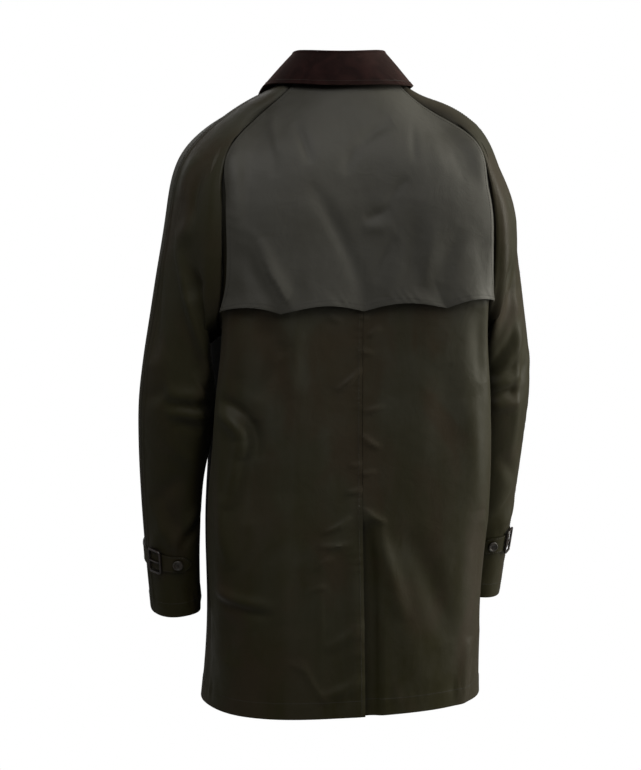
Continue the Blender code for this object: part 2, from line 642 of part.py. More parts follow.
# --- Cuff straps and buttons ----------------------------------------------------------

class CuffPlace:
    """Places on the left sleeve by the way round it and the height, in metres."""

    def __init__(self, sleeve_back, sleeve_front):
        self.points = np.concatenate((sleeve_front[:, :0:-1], sleeve_back), axis=1)
        self.normals = grid_normals(self.points, True)
        self.seam = sleeve_front.shape[1] - 1
        self.row = float(smooth(self.points[1:, self.seam, 2], range(1, len(self.points)), STRAP_HEIGHT))
        ring = np.array([on_grid(self.points, self.normals, self.row, column, 0.0)[0]
                         for column in range(self.points.shape[1])])
        self.around = run(ring) - run(ring)[self.seam]
        self.row_step = np.linalg.norm(self.points[-2, self.seam] - self.points[-3, self.seam])

    def spot(self, along, across, lift):
        """A place so far behind the seam over the arm, and so far above the strap's middle."""
        column = float(np.interp(along, self.around, range(len(self.around))))
        return on_grid(self.points, self.normals, self.row - across / self.row_step, column, lift)

    def columns(self, start, stop):
        """The ways round at which the sleeve has points, between two ends."""
        between = [way for way in self.around
                   if start + STRAP_COLUMN_SPARE < way < stop - STRAP_COLUMN_SPARE]
        return [start, *between, stop]


def strap(cuff):
    """The left cuff strap, from the front of the sleeve round to its pointed tip."""
    lift = (CLOTH + STRAP_CLOTH) / 2 + LAYER_GAP
    point = STRAP_TIP - STRAP_POINT
    ways = sorted([*cuff.columns(STRAP_START, STRAP_TIP), point])
    widths = np.interp(ways, (point, STRAP_TIP), (1.0, STRAP_POINT_WIDTH)) * STRAP_WIDTH
    rows = []
    for side in (0.5, 0.0, -0.5):
        back = 0.0 if side == 0 else STRAP_POINT_BACK * STRAP_POINT
        rows.append([cuff.spot(way - back * (way == STRAP_TIP), side * width, lift)[0]
                     for way, width in zip(ways, widths)])
    return np.array(rows)


def rounded_frame():
    """Outline of the buckle, corners as quarter circles: (along, across) pairs."""
    outline = []
    for quarter in range(4):
        middle = math.pi / 4 + quarter * math.pi / 2
        corner = (math.copysign(BUCKLE_LENGTH / 2 - BUCKLE_CORNER, math.cos(middle)),
                  math.copysign(BUCKLE_HEIGHT / 2 - BUCKLE_CORNER, math.sin(middle)))
        for step in range(CORNER_STEPS + 1):
            angle = (quarter + step / CORNER_STEPS) * math.pi / 2
            outline.append((corner[0] + BUCKLE_CORNER * math.cos(angle),
                            corner[1] + BUCKLE_CORNER * math.sin(angle)))
    return outline


def wire(name, points, radius, closed, collection):
    """A bent wire through points, as a curve with a round section."""
    curve = bpy.data.curves.new(name, "CURVE")
    curve.dimensions = "3D"
    curve.bevel_depth = radius
    curve.bevel_resolution = WIRE_RESOLUTION
    curve.use_fill_caps = not closed
    spline = curve.splines.new("POLY")
    spline.points.add(len(points) - 1)
    for place, point in enumerate(points):
        spline.points[place].co = (*point, 1.0)
    spline.use_cyclic_u = closed
    return add_object(name, curve, HORN, collection)


def buckle(cuff, side, name, collection):
    """Frame and prong of a cuff buckle, lying on the strap."""
    lift = CLOTH / 2 + LAYER_GAP + STRAP_CLOTH + SEAM_GAP + BUCKLE_WIRE
    frame = [cuff.spot(BUCKLE_PLACE + along, across, lift)[0] for along, across in rounded_frame()]
    reach = BUCKLE_LENGTH / 2 - BUCKLE_WIRE - SEAM_GAP
    prong = [cuff.spot(BUCKLE_PLACE + share * reach, 0.0, lift)[0] for share in (-1, 0, 1)]
    wire("buckle_" + name, place(frame, side), BUCKLE_WIRE, True, collection)
    wire("buckle_prong_" + name, place(prong, side), PRONG_WIRE, False, collection)


def button(name, spot, outward, radius, collection):
    """A turned button: flat back, rounded rim and a dished face."""
    profile = list(zip(BUTTON_PROFILE["across"], BUTTON_PROFILE["height"]))
    mesh = bpy.data.meshes.new(name)
    rings = []
    for across, height in profile[1:-1]:
        turns = np.linspace(0, 2 * math.pi, BUTTON_STEPS, endpoint=False)
        rings.append(np.stack([across * radius * np.cos(turns), across * radius * np.sin(turns),
                               np.full(BUTTON_STEPS, height * BUTTON_HEIGHT)], axis=1))
    points = np.concatenate([[(0, 0, 0)], *rings, [(0, 0, profile[-1][1] * BUTTON_HEIGHT)]])
    faces = []
    for k in range(BUTTON_STEPS):
        after = (k + 1) % BUTTON_STEPS
        faces.append((0, 1 + after, 1 + k))
        for ring in range(len(rings) - 1):
            a, b = 1 + ring * BUTTON_STEPS, 1 + (ring + 1) * BUTTON_STEPS
            faces.append((a + k, a + after, b + after, b + k))
        top = 1 + (len(rings) - 1) * BUTTON_STEPS
        faces.append((top + k, top + after, len(points) - 1))
    side = np.cross(outward, (0.0, 0.0, 1.0))
    side /= np.linalg.norm(side)
    frame = np.stack([side, np.cross(outward, side), outward], axis=0)
    mesh.from_pydata([tuple(spot + point @ frame) for point in points], [], faces)
    mesh.shade_smooth()
    return add_object(name, mesh, HORN, collection)


def place(points, side):
    """Put points of the left half on a side (1 left, -1 right), in the wearer's stance."""
    points = np.array(points, float) * np.array([side, 1.0, 1.0])
    outer = ease((-points[..., 0] - SHOULDER_FROM) / (SHOULDER_TO - SHOULDER_FROM))
    level = np.exp(-((points[..., 2] - SHOULDER_HEIGHT) / SHOULDER_SPREAD) ** 2)
    points[..., 0] += SHOULDER_IN * outer * level
    beside = np.exp(-((points[..., 0] + NECK_DROP_PLACE) / NECK_DROP_SPREAD) ** 2)
    above = ease((points[..., 2] - NECK_DROP_NONE) / (NECK_DROP_FULL - NECK_DROP_NONE))
    points[..., 2] -= NECK_DROP * beside * above
    points[..., 2] -= STANCE_DROP * points[..., 0]
    return points


def main():
    """Build every piece of the coat."""
    for item in list(bpy.data.objects):
        bpy.data.objects.remove(item, do_unlink=True)
    collection = bpy.data.collections.new(COAT)
    bpy.context.scene.collection.children.link(collection)

    sleeve_back = sleeve_rows(RAGLAN_BACK, 1)
    sleeve_front = sleeve_rows(RAGLAN_FRONT, -1)
    cuff = CuffPlace(sleeve_back, sleeve_front)
    left_strap = strap(cuff)
    panels, back, front = body_panels()
    sewn = panels + [
        Piece("sleeve_back_left", sleeve_back, flip=True),
        Piece("sleeve_back_right", mirrored(sleeve_back)),
        Piece("sleeve_front_left", sleeve_front),
        Piece("sleeve_front_right", mirrored(sleeve_front), flip=True),
    ]
    sew(sewn)
    loose = [storm_cape(back), *collar(),
             Piece("cuff_strap_left", left_strap, thickness=STRAP_CLOTH, flip=True),
             Piece("cuff_strap_right", mirrored(left_strap), thickness=STRAP_CLOTH)]
    for piece in sewn + loose:
        piece.points = place(piece.points, 1)
        piece.build(collection)

    for side, name in ((1, "left"), (-1, "right")):
        buckle(cuff, side, name, collection)
        face = CLOTH / 2 + LAYER_GAP + STRAP_CLOTH + 2 * SEAM_GAP
        spot, outward = cuff.spot(CUFF_BUTTON_PLACE, 0.0, face)
        button("cuff_button_" + name, place(spot, side), outward * (side, 1, 1),
               CUFF_BUTTON_RADIUS, collection)
    for number, height in enumerate(FRONT_BUTTON_HEIGHTS, 1):
        centre = np.full(2, len(PLACES) - 1)
        spot, above = body_points(np.array([height, height + BUTTON_HEIGHT]), centre)
        outward = np.cross((1.0, 0.0, 0.0), above - spot)
        outward /= np.linalg.norm(outward)
        spot = place(spot + (CLOTH / 2 + 2 * SEAM_GAP) * outward, 1)
        button(f"front_button_{number}", spot, outward, FRONT_BUTTON_RADIUS, collection)


main()
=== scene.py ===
"""Looks of a three-quarter waxed cotton coat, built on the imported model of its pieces.

Metres, +Z up. The coat faces -Y and its own left side is at +X. The origin is the middle
of the neck opening at the height of the collar seam at the centre back. Every cut piece
is a thin shell on the same form as its solid, with its folds, seams and stitches.
"""

from __future__ import annotations

import json
import logging
import math
from dataclasses import dataclass, field
from enum import Enum
from typing import Sequence

import bpy
import numpy as np
from mathutils import Matrix, Vector

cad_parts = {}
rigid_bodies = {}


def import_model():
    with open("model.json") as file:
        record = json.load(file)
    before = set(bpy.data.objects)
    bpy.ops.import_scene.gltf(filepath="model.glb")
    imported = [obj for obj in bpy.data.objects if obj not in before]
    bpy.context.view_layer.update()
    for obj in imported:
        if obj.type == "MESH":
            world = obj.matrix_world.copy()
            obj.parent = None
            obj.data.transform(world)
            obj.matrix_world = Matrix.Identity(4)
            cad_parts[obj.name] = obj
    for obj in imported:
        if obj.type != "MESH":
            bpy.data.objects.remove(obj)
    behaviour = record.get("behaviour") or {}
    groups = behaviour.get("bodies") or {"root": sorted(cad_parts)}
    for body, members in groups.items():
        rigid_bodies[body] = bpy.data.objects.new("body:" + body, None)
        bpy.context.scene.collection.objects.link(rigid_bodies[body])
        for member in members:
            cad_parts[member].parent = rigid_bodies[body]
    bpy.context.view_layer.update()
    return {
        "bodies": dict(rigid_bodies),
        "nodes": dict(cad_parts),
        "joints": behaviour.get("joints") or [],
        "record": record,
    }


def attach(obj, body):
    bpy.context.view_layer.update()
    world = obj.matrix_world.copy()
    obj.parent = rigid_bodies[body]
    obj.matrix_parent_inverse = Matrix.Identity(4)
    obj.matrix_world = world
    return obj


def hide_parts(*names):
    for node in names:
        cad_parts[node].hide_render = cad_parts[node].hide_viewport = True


LOG = logging.getLogger("coat")
ROOT = "root"                    # the one body that every piece rides on
STANCE_DROP = 0.014              # the left side is carried lower: metres for each metre
SHOULDER_IN = 0.0135             # the right shoulder is carried in by this much,
SHOULDER_HEIGHT = -0.122         # most at this height,
SHOULDER_SPREAD = 0.052          # less above and below,
SHOULDER_FROM, SHOULDER_TO = 0.130, 0.235  # growing between these distances from the middle
FLANK_OUT = 0.0105               # the body's left flank stands out so far
FLANK_HEIGHT = -0.620            # at this height,
FLANK_SPREAD = 0.120             # less above and below,
FLANK_FULL, FLANK_NONE = 0.183, 0.202  # in full up to one distance from the middle, none past the other
NECK_DROP = 0.0065               # the right side of the neck lies lower by this much
NECK_DROP_PLACE = 0.102          # so far from the middle,
NECK_DROP_SPREAD = 0.042         # less to both sides of there,
NECK_DROP_FULL, NECK_DROP_NONE = -0.080, -0.170  # in full above one height, none below the other
FOLD_REACH = 3.2                 # how far a fold is felt, in its own widths
LAYER_STEP = 0.0022              # over this width a turned layer ends
STITCH_DIP, STITCH_DIP_WIDTH = 0.00035, 0.0012  # the furrow that a row of stitches draws
SAMPLES = 80                     # fine samples that an even division is read from
IMAGE_HEIGHT = 770               # the image's longer side, which the camera's shift is a share of
Table = dict[str, tuple[float, ...]]
Colour = tuple[float, float, float, float]
Row = tuple[np.ndarray, np.ndarray]  # points along a line, and the outward normals there
Inputs = dict[str | int, object]     # a socket to link from or a value to set, by input
Sockets = dict[str, bpy.types.NodeSocket]


class Side(Enum):
    """The side of the coat, as its wearer has it."""

    LEFT = 1
    RIGHT = -1


class Edge(Enum):
    """An edge of a cut piece: its first or last column, its first or last row."""

    FIRST = "first column"
    LAST = "last column"
    TOP = "first row"
    BOTTOM = "last row"


class Fold(Enum):
    """How a fold stands in the cloth."""

    TROUGH = "a soft hollow"
    RIDGE = "a soft crest"
    LAP = "a crest with a hollow along its one side"
    CREASE = "a crest pressed sharp"


TROUGH, RIDGE, LAP, CREASE = Fold


# --- Curves through a few sizes ------------------------------------------------------

def smooth(rows: Sequence[float], values: Sequence[float], at: np.ndarray) -> np.ndarray:
    """Read a column of a table between its rows, on a curve without corners.

    Args:
        rows: where the rows stand, rising or falling.
        values: the column, a value for each row.
        at: the places to read.

    Returns:
        The values at those places.
    """
    x = np.asarray(rows, float)
    y = np.asarray(values, float)
    if x[0] > x[-1]:
        x, y = x[::-1], y[::-1]
    step = np.diff(x)
    rise = np.diff(y) / step
    slope = np.empty_like(y)
    slope[1:-1] = (rise[:-1] * step[1:] + rise[1:] * step[:-1]) / (step[1:] + step[:-1])
    slope[0] = 1.5 * rise[0] - 0.5 * slope[1]
    slope[-1] = 1.5 * rise[-1] - 0.5 * slope[-2]
    at = np.clip(np.asarray(at, float), x[0], x[-1])
    low = np.clip(np.searchsorted(x, at) - 1, 0, len(step) - 1)
    t = (at - x[low]) / step[low]
    width = step[low]
    return ((1 + 2 * t) * (1 - t) ** 2 * y[low] + t * (1 - t) ** 2 * width * slope[low]
            + t * t * (3 - 2 * t) * y[low + 1] + t * t * (t - 1) * width * slope[low + 1])


def ease(t: np.ndarray) -> np.ndarray:
    """Rise from 0 to 1 with level ends."""
    t = np.clip(t, 0.0, 1.0)
    return t * t * (3 - 2 * t)


def run(points: np.ndarray) -> np.ndarray:
    """Length along a line of points, from 0 at its start."""
    legs = np.linalg.norm(np.diff(points, axis=0), axis=1)
    return np.concatenate(([0.0], np.cumsum(legs)))


def spaced(line: np.ndarray, fractions: np.ndarray) -> np.ndarray:
    """Points of a line at fractions of its length."""
    along = run(line)
    return read_along(line, along, np.asarray(fractions) * along[-1])


def read_along(values: np.ndarray, along: np.ndarray, at: np.ndarray) -> np.ndarray:
    """Values of a line, one a row, read between its points at lengths along it."""
    return np.stack([np.interp(at, along, column) for column in values.T], axis=1)


def unit(vectors: np.ndarray) -> np.ndarray:
    """Vectors, one a row, each made one long."""
    return vectors / np.linalg.norm(vectors, axis=1, keepdims=True)


def on_side(points: np.ndarray, side: Side) -> np.ndarray:
    """Points of the left side, or their mirror image for the right one."""
    return points if side is Side.LEFT else mirrored(points)


def mirrored(points: np.ndarray) -> np.ndarray:
    """Points on the other side of the coat, in plan or in space."""
    return points * np.array([-1.0, 1.0, 1.0])[:points.shape[-1]]


def both_sides(half: np.ndarray) -> np.ndarray:
    """A line of points from the centre, with its mirror image before it."""
    return np.concatenate((mirrored(half[:0:-1]), half))


def sampled(grid: np.ndarray, rows: np.ndarray, columns: np.ndarray) -> np.ndarray:
    """Values of a grid between its rows and columns.

    Args:
        grid: values by row and column, with any further axes.
        rows: where to read down the grid.
        columns: where to read across it, of the same shape as rows.

    Returns:
        The values, of that shape and the grid's further axes.
    """
    i = np.clip(np.floor(rows).astype(int), 0, grid.shape[0] - 2)
    j = np.clip(np.floor(columns).astype(int), 0, grid.shape[1] - 2)
    v, u = (rows - i)[..., None], (columns - j)[..., None]
    return ((1 - v) * ((1 - u) * grid[i, j] + u * grid[i, j + 1])
            + v * ((1 - u) * grid[i + 1, j] + u * grid[i + 1, j + 1]))


def grid_normals(points: np.ndarray, flip: bool) -> np.ndarray:
    """Outward normals of a grid of points; flip turns them round."""
    down = np.gradient(points, axis=0)
    across = np.gradient(points, axis=1)
    normals = np.cross(down, across) if flip else np.cross(across, down)
    size = np.linalg.norm(normals, axis=2, keepdims=True)
    return normals / np.maximum(size, 1e-12)


# --- Folds that lie in the cloth -------------------------------------------------------

@dataclass(frozen=True)
class FoldLine:
    """One fold, as listed.

    Attributes:
        kind: how it stands in the cloth.
        start: its upper end, as (way round, height) or (way round, ring).
        end: its lower end, in the same terms.
        bow: how far its middle bends aside, as a share of its length.
        width: half its width, in metres.
        depth: its height or depth at the middle, in metres.
    """

    kind: Fold
    start: tuple[float, float]
    end: tuple[float, float]
    bow: float
    width: float
    depth: float

    def route(self, unit: tuple[float, float] = (1.0, 1.0)) -> np.ndarray:
        """Places along the fold, in the terms of its ends, whose units are so many metres."""
        t = np.linspace(0, 1, 25)[:, None]
        start, end = np.array(self.start) * unit, np.array(self.end) * unit
        along = end - start
        aside = np.array([-along[1], along[0]])
        return (start + along * t + aside * self.bow * 4 * t * (1 - t)) / unit


def fold_table(*rows: tuple[Fold, float, float, float, float, float, float, float]) -> tuple[FoldLine, ...]:
    """Folds from rows of kind, start (round, down), end (round, down), bow, width and depth."""
    return tuple(FoldLine(kind, (start, top), (end, foot), bow, width, depth)
                 for kind, start, top, end, foot, bow, width, depth in rows)


def fold_height(points: np.ndarray, normals: np.ndarray, line: np.ndarray, fold: FoldLine) -> np.ndarray:
    """Height that one fold adds to the points of a cloth.

    Args:
        points: points of the cloth, one a row.
        normals: their outward normals.
        line: points along the fold, on the same form.
        fold: the fold's kind and sizes.

    Returns:
        A height for each point, along its normal.
    """
    height = np.zeros(len(points))
    reach = FOLD_REACH * fold.width
    near = np.all((points > line.min(axis=0) - reach) & (points < line.max(axis=0) + reach), axis=1)
    if not near.any():
        return height
    here, upright = points[near], normals[near]
    start, leg = line[:-1], np.diff(line, axis=0)
    legs = (leg ** 2).sum(axis=1)
    share = ((here[:, None] - start) * leg).sum(axis=2) / legs
    inside = np.clip(share, 0, 1)
    gap = here[:, None] - (start + inside[..., None] * leg)
    distance = np.linalg.norm(gap, axis=2)
    best = distance.argmin(axis=1)
    rows = np.arange(len(here))
    gap, distance = gap[rows, best], distance[rows, best]
    along = (best + inside[rows, best]) / len(leg)
    side = np.sign((np.cross(leg[best], upright) * gap).sum(axis=1))
    s = distance / fold.width
    if fold.kind is Fold.CREASE:
        profile = np.exp(-1.6 * s)
    elif fold.kind is Fold.LAP:
        profile = np.exp(-(s - 0.15 * side) ** 2) - 0.75 * np.exp(-((side * s + 1.3) / 0.8) ** 2)
    else:
        profile = np.exp(-s * s)
    if fold.kind is Fold.TROUGH:
        profile = -profile
    taper = np.sin(math.pi * np.clip(along, 0.0, 1.0)) ** 0.7
    height[near] = fold.depth * taper * profile
    return height


def folded(points: np.ndarray, flip: bool, lines: Sequence[tuple[np.ndarray, FoldLine]],
           hold: np.ndarray | None = None) -> np.ndarray:
    """Raise a grid of points by the folds that lie on it.

    Args:
        points: the grid, rows by columns.
        flip: which side of the grid is outward.
        lines: each fold's points in space, with the fold.
        hold: a share of the height that each point may take, such as 0 at a seam.

    Returns:
        The grid with its folds.
    """
    normals = grid_normals(points, flip)
    flat, upright = points.reshape(-1, 3), normals.reshape(-1, 3)
    height = np.zeros(len(flat))
    for line, fold in lines:
        height += fold_height(flat, upright, line, fold)
    if hold is not None:
        height *= hold.reshape(-1)
    return (flat + height[:, None] * upright).reshape(points.shape)


# --- The cut pieces as shells ------------------------------------------------------------

def stood(name: str, data: bpy.types.ID) -> bpy.types.Object:
    """Put a mesh, curve, lamp or camera into the scene as an object."""
    item = bpy.data.objects.new(name, data)
    bpy.context.scene.collection.objects.link(item)
    return item


def shaded(mesh: bpy.types.Mesh, degrees: float = 40.0) -> None:
    """Shade a mesh smooth, up to an angle between its faces."""
    mesh.shade_smooth()
    mesh.set_sharp_from_angle(angle=math.radians(degrees))


def applied(item: bpy.types.Object) -> bpy.types.Mesh:
    """The mesh that an object shows, with its bevel or modifiers applied."""
    return bpy.data.meshes.new_from_object(item.evaluated_get(bpy.context.evaluated_depsgraph_get()))


@dataclass(frozen=True)
class SeamFinish:
    """How an edge of a piece is sewn.

    Attributes:
        edge: which edge.
        band: how far the turned or lapped layer reaches in from the edge, in metres.
        rise: how far that layer lifts the surface.
        rows: rows of stitches, by their distance from the edge.
        pucker: height of the small waves that the stitches draw.
        pitch: length of one such wave, about.
        reach: how far the waves reach across from the band's edge.
    """

    edge: Edge
    band: float = 0.0
    rise: float = 0.0
    rows: tuple[float, ...] = ()
    pucker: float = 0.0
    pitch: float = 0.012
    reach: float = 0.010


class CutPiece:
    """One cut piece: a grid of points with an outer side, made into a thin closed shell."""

    def __init__(self, name: str, points: np.ndarray, flip: bool, thickness: float = 0.0012,
                 keep: np.ndarray | None = None, finishes: Sequence[SeamFinish] = ()) -> None:
        """Hold the grid, and measure the cut from it.

        Args:
            name: the node that the piece stands for.
            points: the grid, rows by columns.
            flip: which side of the grid is outward.
            thickness: of the cloth.
            keep: which faces of the grid are cloth; all of them by default.
            finishes: how its edges are sewn.
        """
        self.name = name
        self.points = points
        self.flip = flip
        self.thickness = thickness
        rows, columns = points.shape[:2]
        self.keep = np.ones((rows - 1, columns - 1), bool) if keep is None else keep
        self.finishes = finishes
        across = np.linalg.norm(np.diff(points, axis=1), axis=2)
        down = np.linalg.norm(np.diff(points, axis=0), axis=2)
        self.across = np.concatenate((np.zeros((rows, 1)), np.cumsum(across, axis=1)), axis=1)
        self.down = np.concatenate((np.zeros((1, columns)), np.cumsum(down, axis=0)), axis=0)
        self.cut = self.measured_cut()

    def measured_cut(self) -> tuple[float, float, float]:
        """Width, length and area of the flat cut, in metres and square metres."""
        p = self.points
        diagonals = np.cross(p[1:, 1:] - p[:-1, :-1], p[1:, :-1] - p[:-1, 1:])
        areas = np.linalg.norm(diagonals, axis=2) / 2
        area = float(areas[self.keep].sum())
        width, length = float(self.across.max()), float(self.down.max())
        return width, length, min(area, width * length)

    def from_edge(self, edge: Edge) -> np.ndarray:
        """How far each point lies from an edge, along the grid."""
        if edge is Edge.FIRST:
            return self.across
        if edge is Edge.LAST:
            return self.across[:, -1:] - self.across
        return self.down if edge is Edge.TOP else self.down[-1:] - self.down

    def along_edge(self, edge: Edge) -> np.ndarray:
        """How far each point lies along an edge, from its start."""
        return self.down if edge in (Edge.FIRST, Edge.LAST) else self.across

    def sewn(self) -> None:
        """Raise the turned layers at the edges, and pucker the cloth beside the stitches."""
        normals = grid_normals(self.points, self.flip)
        height = np.zeros(self.points.shape[:2])
        for number, finish in enumerate(self.finishes):
            away = self.from_edge(finish.edge)
            along = self.along_edge(finish.edge)
            layer = 1 - ease((away - finish.band) / LAYER_STEP)
            height = np.maximum(height, finish.rise * layer)
            beat = (along / finish.pitch + 0.9 * np.sin(along * 31 + number)
                    + 0.6 * np.sin(along * 83 + 2 * number))
            waves = np.sin(2 * math.pi * beat) * (0.55 + 0.45 * np.sin(along * 57 + 3 * number))
            spread = np.exp(-((away - finish.band) / finish.reach) ** 2)
            height += finish.pucker * waves * spread * ease(away / 0.002)
            for row in finish.rows:
                height -= STITCH_DIP * np.exp(-((away - row) / STITCH_DIP_WIDTH) ** 2)
        self.points = self.points + height[..., None] * normals

    def stitch_lines(self) -> list[Row]:
        """Points and outward normals along each row of stitches."""
        normals = grid_normals(self.points, self.flip)
        rows, columns = self.points.shape[:2]
        lines = []
        for finish in self.finishes:
            away = self.from_edge(finish.edge)
            for distance in finish.rows:
                if finish.edge in (Edge.FIRST, Edge.LAST):
                    i = np.arange(rows, dtype=float)
                    order = slice(None) if finish.edge is Edge.FIRST else slice(None, None, -1)
                    count = np.arange(columns, dtype=float)[order]
                    j = np.array([np.interp(distance, line[order], count) for line in away])
                else:
                    j = np.arange(columns, dtype=float)
                    order = slice(None) if finish.edge is Edge.TOP else slice(None, None, -1)
                    count = np.arange(rows, dtype=float)[order]
                    i = np.array([np.interp(distance, line[order], count) for line in away.T])
                half = self.thickness / 2
                outward = sampled(normals, i, j)
                lines.append((sampled(self.points, i, j) + half * outward, outward))
        return lines

    def shell(self, gap: float = 0.00035) -> bpy.types.Object:
        """Make the closed shell: outer side, inner side and the rim between them.

        Args:
            gap: how far the edges are drawn in, so that a seam shows as a fine line.

        Returns:
            The piece as an object.
        """
        rows, columns = self.points.shape[:2]
        index = np.arange(rows * columns).reshape(rows, columns)
        quads = np.stack((index[:-1, :-1], index[:-1, 1:], index[1:, 1:], index[1:, :-1]), axis=2)
        quads = quads[self.keep]
        if self.flip:
            quads = quads[:, ::-1]
        points = self.points.reshape(-1, 3).copy()
        normals = grid_normals(self.points, self.flip).reshape(-1, 3)
        starts, ends = quads, np.roll(quads, -1, axis=1)
        code = (starts.astype(np.int64) * len(points) + ends).reshape(-1)
        back = (ends.astype(np.int64) * len(points) + starts).reshape(-1)
        rim = ~np.isin(code, back)
        owner = np.repeat(np.arange(len(quads)), 4)[rim]
        a, b = code[rim] // len(points), code[rim] % len(points)
        middle = points[quads[owner]].mean(axis=1) - (points[a] + points[b]) / 2
        way = points[b] - points[a]
        middle -= way * ((middle * way).sum(axis=1) / (way ** 2).sum(axis=1))[:, None]
        middle = unit(middle)
        pull = np.zeros_like(points)
        for ends_of_edges in (a, b):
            np.add.at(pull, ends_of_edges, middle)
        drawn = np.linalg.norm(pull, axis=1)
        points += gap * pull / np.maximum(drawn, 1.0)[:, None]
        used, place = np.unique(quads, return_inverse=True)
        place = place.reshape(quads.shape)
        new = np.full(len(points), -1)
        new[used] = np.arange(len(used))
        half = self.thickness / 2
        outer, inner = points[used] + half * normals[used], points[used] - half * normals[used]
        count = len(used)
        sides = np.stack((new[b], new[a], new[a] + count, new[b] + count), axis=1)
        faces = np.concatenate((place, place[:, ::-1] + count, sides))
        mesh = bpy.data.meshes.new(self.name)
        mesh.from_pydata(np.concatenate((outer, inner)).tolist(), [], faces.tolist())
        cut = np.stack((self.across.reshape(-1), self.down.reshape(-1)), axis=1)[used]
        cut = np.concatenate((cut, cut))
        layer = mesh.uv_layers.new(name="cut")
        corners = np.zeros(len(mesh.loops), np.int32)
        mesh.loops.foreach_get("vertex_index", corners)
        layer.data.foreach_set("uv", cut[corners].astype(np.float32).reshape(-1))
        shaded(mesh, 50.0)
        return stood(self.name + "_cloth", mesh)


# --- The form that the cloth lies on -------------------------------------------------------

PLACES = ("centre_back", "blade", "back_corner", "back_flank", "side",
          "front_flank", "front_corner", "breast", "centre_front")
BODY_OUTLINES: Table = {
    "height":         (0.012, -0.020, -0.050, -0.100, -0.160, -0.240,
                       -0.300, -0.350, -0.450, -0.590, -0.730, -0.872),
    "centre_back_y":  (0.056,  0.081,  0.102,  0.130,  0.143,  0.147,
                       0.147,  0.146,  0.145,  0.147,  0.154,  0.163),
    "blade_x":        (0.030,  0.042,  0.062,  0.085,  0.095,  0.098,
                       0.098,  0.098,  0.098,  0.096,  0.094,  0.092),
    "blade_y":        (0.050,  0.075,  0.097,  0.131,  0.147,  0.151,
                       0.150,  0.148,  0.145,  0.144,  0.148,  0.154),
    "back_corner_x":  (0.056,  0.080,  0.106,  0.139,  0.152,  0.158,
                       0.163,  0.166,  0.167,  0.165,  0.156,  0.150),
    "back_corner_y":  (0.034,  0.054,  0.074,  0.116,  0.139,  0.143,
                       0.140,  0.136,  0.131,  0.127,  0.127,  0.126),
    "back_flank_x":   (0.056,  0.096,  0.131,  0.177,  0.186,  0.188,
                       0.185,  0.185,  0.193,  0.195,  0.186,  0.184),
    "back_flank_y":   (0.009,  0.022,  0.047,  0.102,  0.118,  0.119,
                       0.112,  0.103,  0.093,  0.087,  0.085,  0.080),
    "side_x":         (0.050,  0.084,  0.115,  0.150,  0.164,  0.168,
                       0.168,  0.166,  0.160,  0.169,  0.180,  0.198),
    "side_y":         (-0.010, -0.010, 0.000,  0.010,  0.018,  0.024,
                       0.026,  0.025,  0.012,  0.002,  0.002,  0.010),
    "front_flank_x":  (0.044,  0.073,  0.112,  0.155,  0.172,  0.180,
                       0.179,  0.176,  0.172,  0.170,  0.174,  0.184),
    "front_flank_y":  (-0.018, -0.037, -0.067, -0.096, -0.105, -0.100,
                       -0.088, -0.075, -0.062, -0.060, -0.060, -0.060),
    "front_corner_x": (0.046,  0.054,  0.064,  0.108,  0.130,  0.145,
                       0.148,  0.150,  0.150,  0.147,  0.146,  0.148),
    "front_corner_y": (-0.026, -0.044, -0.066, -0.099, -0.117, -0.122,
                       -0.118, -0.113, -0.106, -0.104, -0.106, -0.110),
    "breast_x":       (0.026,  0.027,  0.030,  0.055,  0.075,  0.088,
                       0.090,  0.090,  0.090,  0.090,  0.090,  0.090),
    "breast_y":       (-0.024, -0.042, -0.064, -0.095, -0.121, -0.134,
                       -0.136, -0.137, -0.136, -0.135, -0.136, -0.139),
    "centre_front_y": (-0.018, -0.036, -0.059, -0.092, -0.118, -0.133,
                       -0.137, -0.139, -0.140, -0.140, -0.142, -0.146),
}
RAGLAN_BACK: Table = {
    "height": (-0.001, -0.022, -0.053, -0.080, -0.108, -0.160, -0.230, -0.285, -0.322, -0.350),
    "place":  (2.00,    2.12,   2.52,   2.83,   2.92,   2.82,   2.74,   2.78,   3.12,   4.00),
}
RAGLAN_FRONT: Table = {
    "height": (-0.019, -0.064, -0.102, -0.148, -0.200, -0.264, -0.326, -0.350),
    "place":  (5.00,    5.00,   5.00,   5.00,   5.00,   4.95,   4.65,   4.00),
}
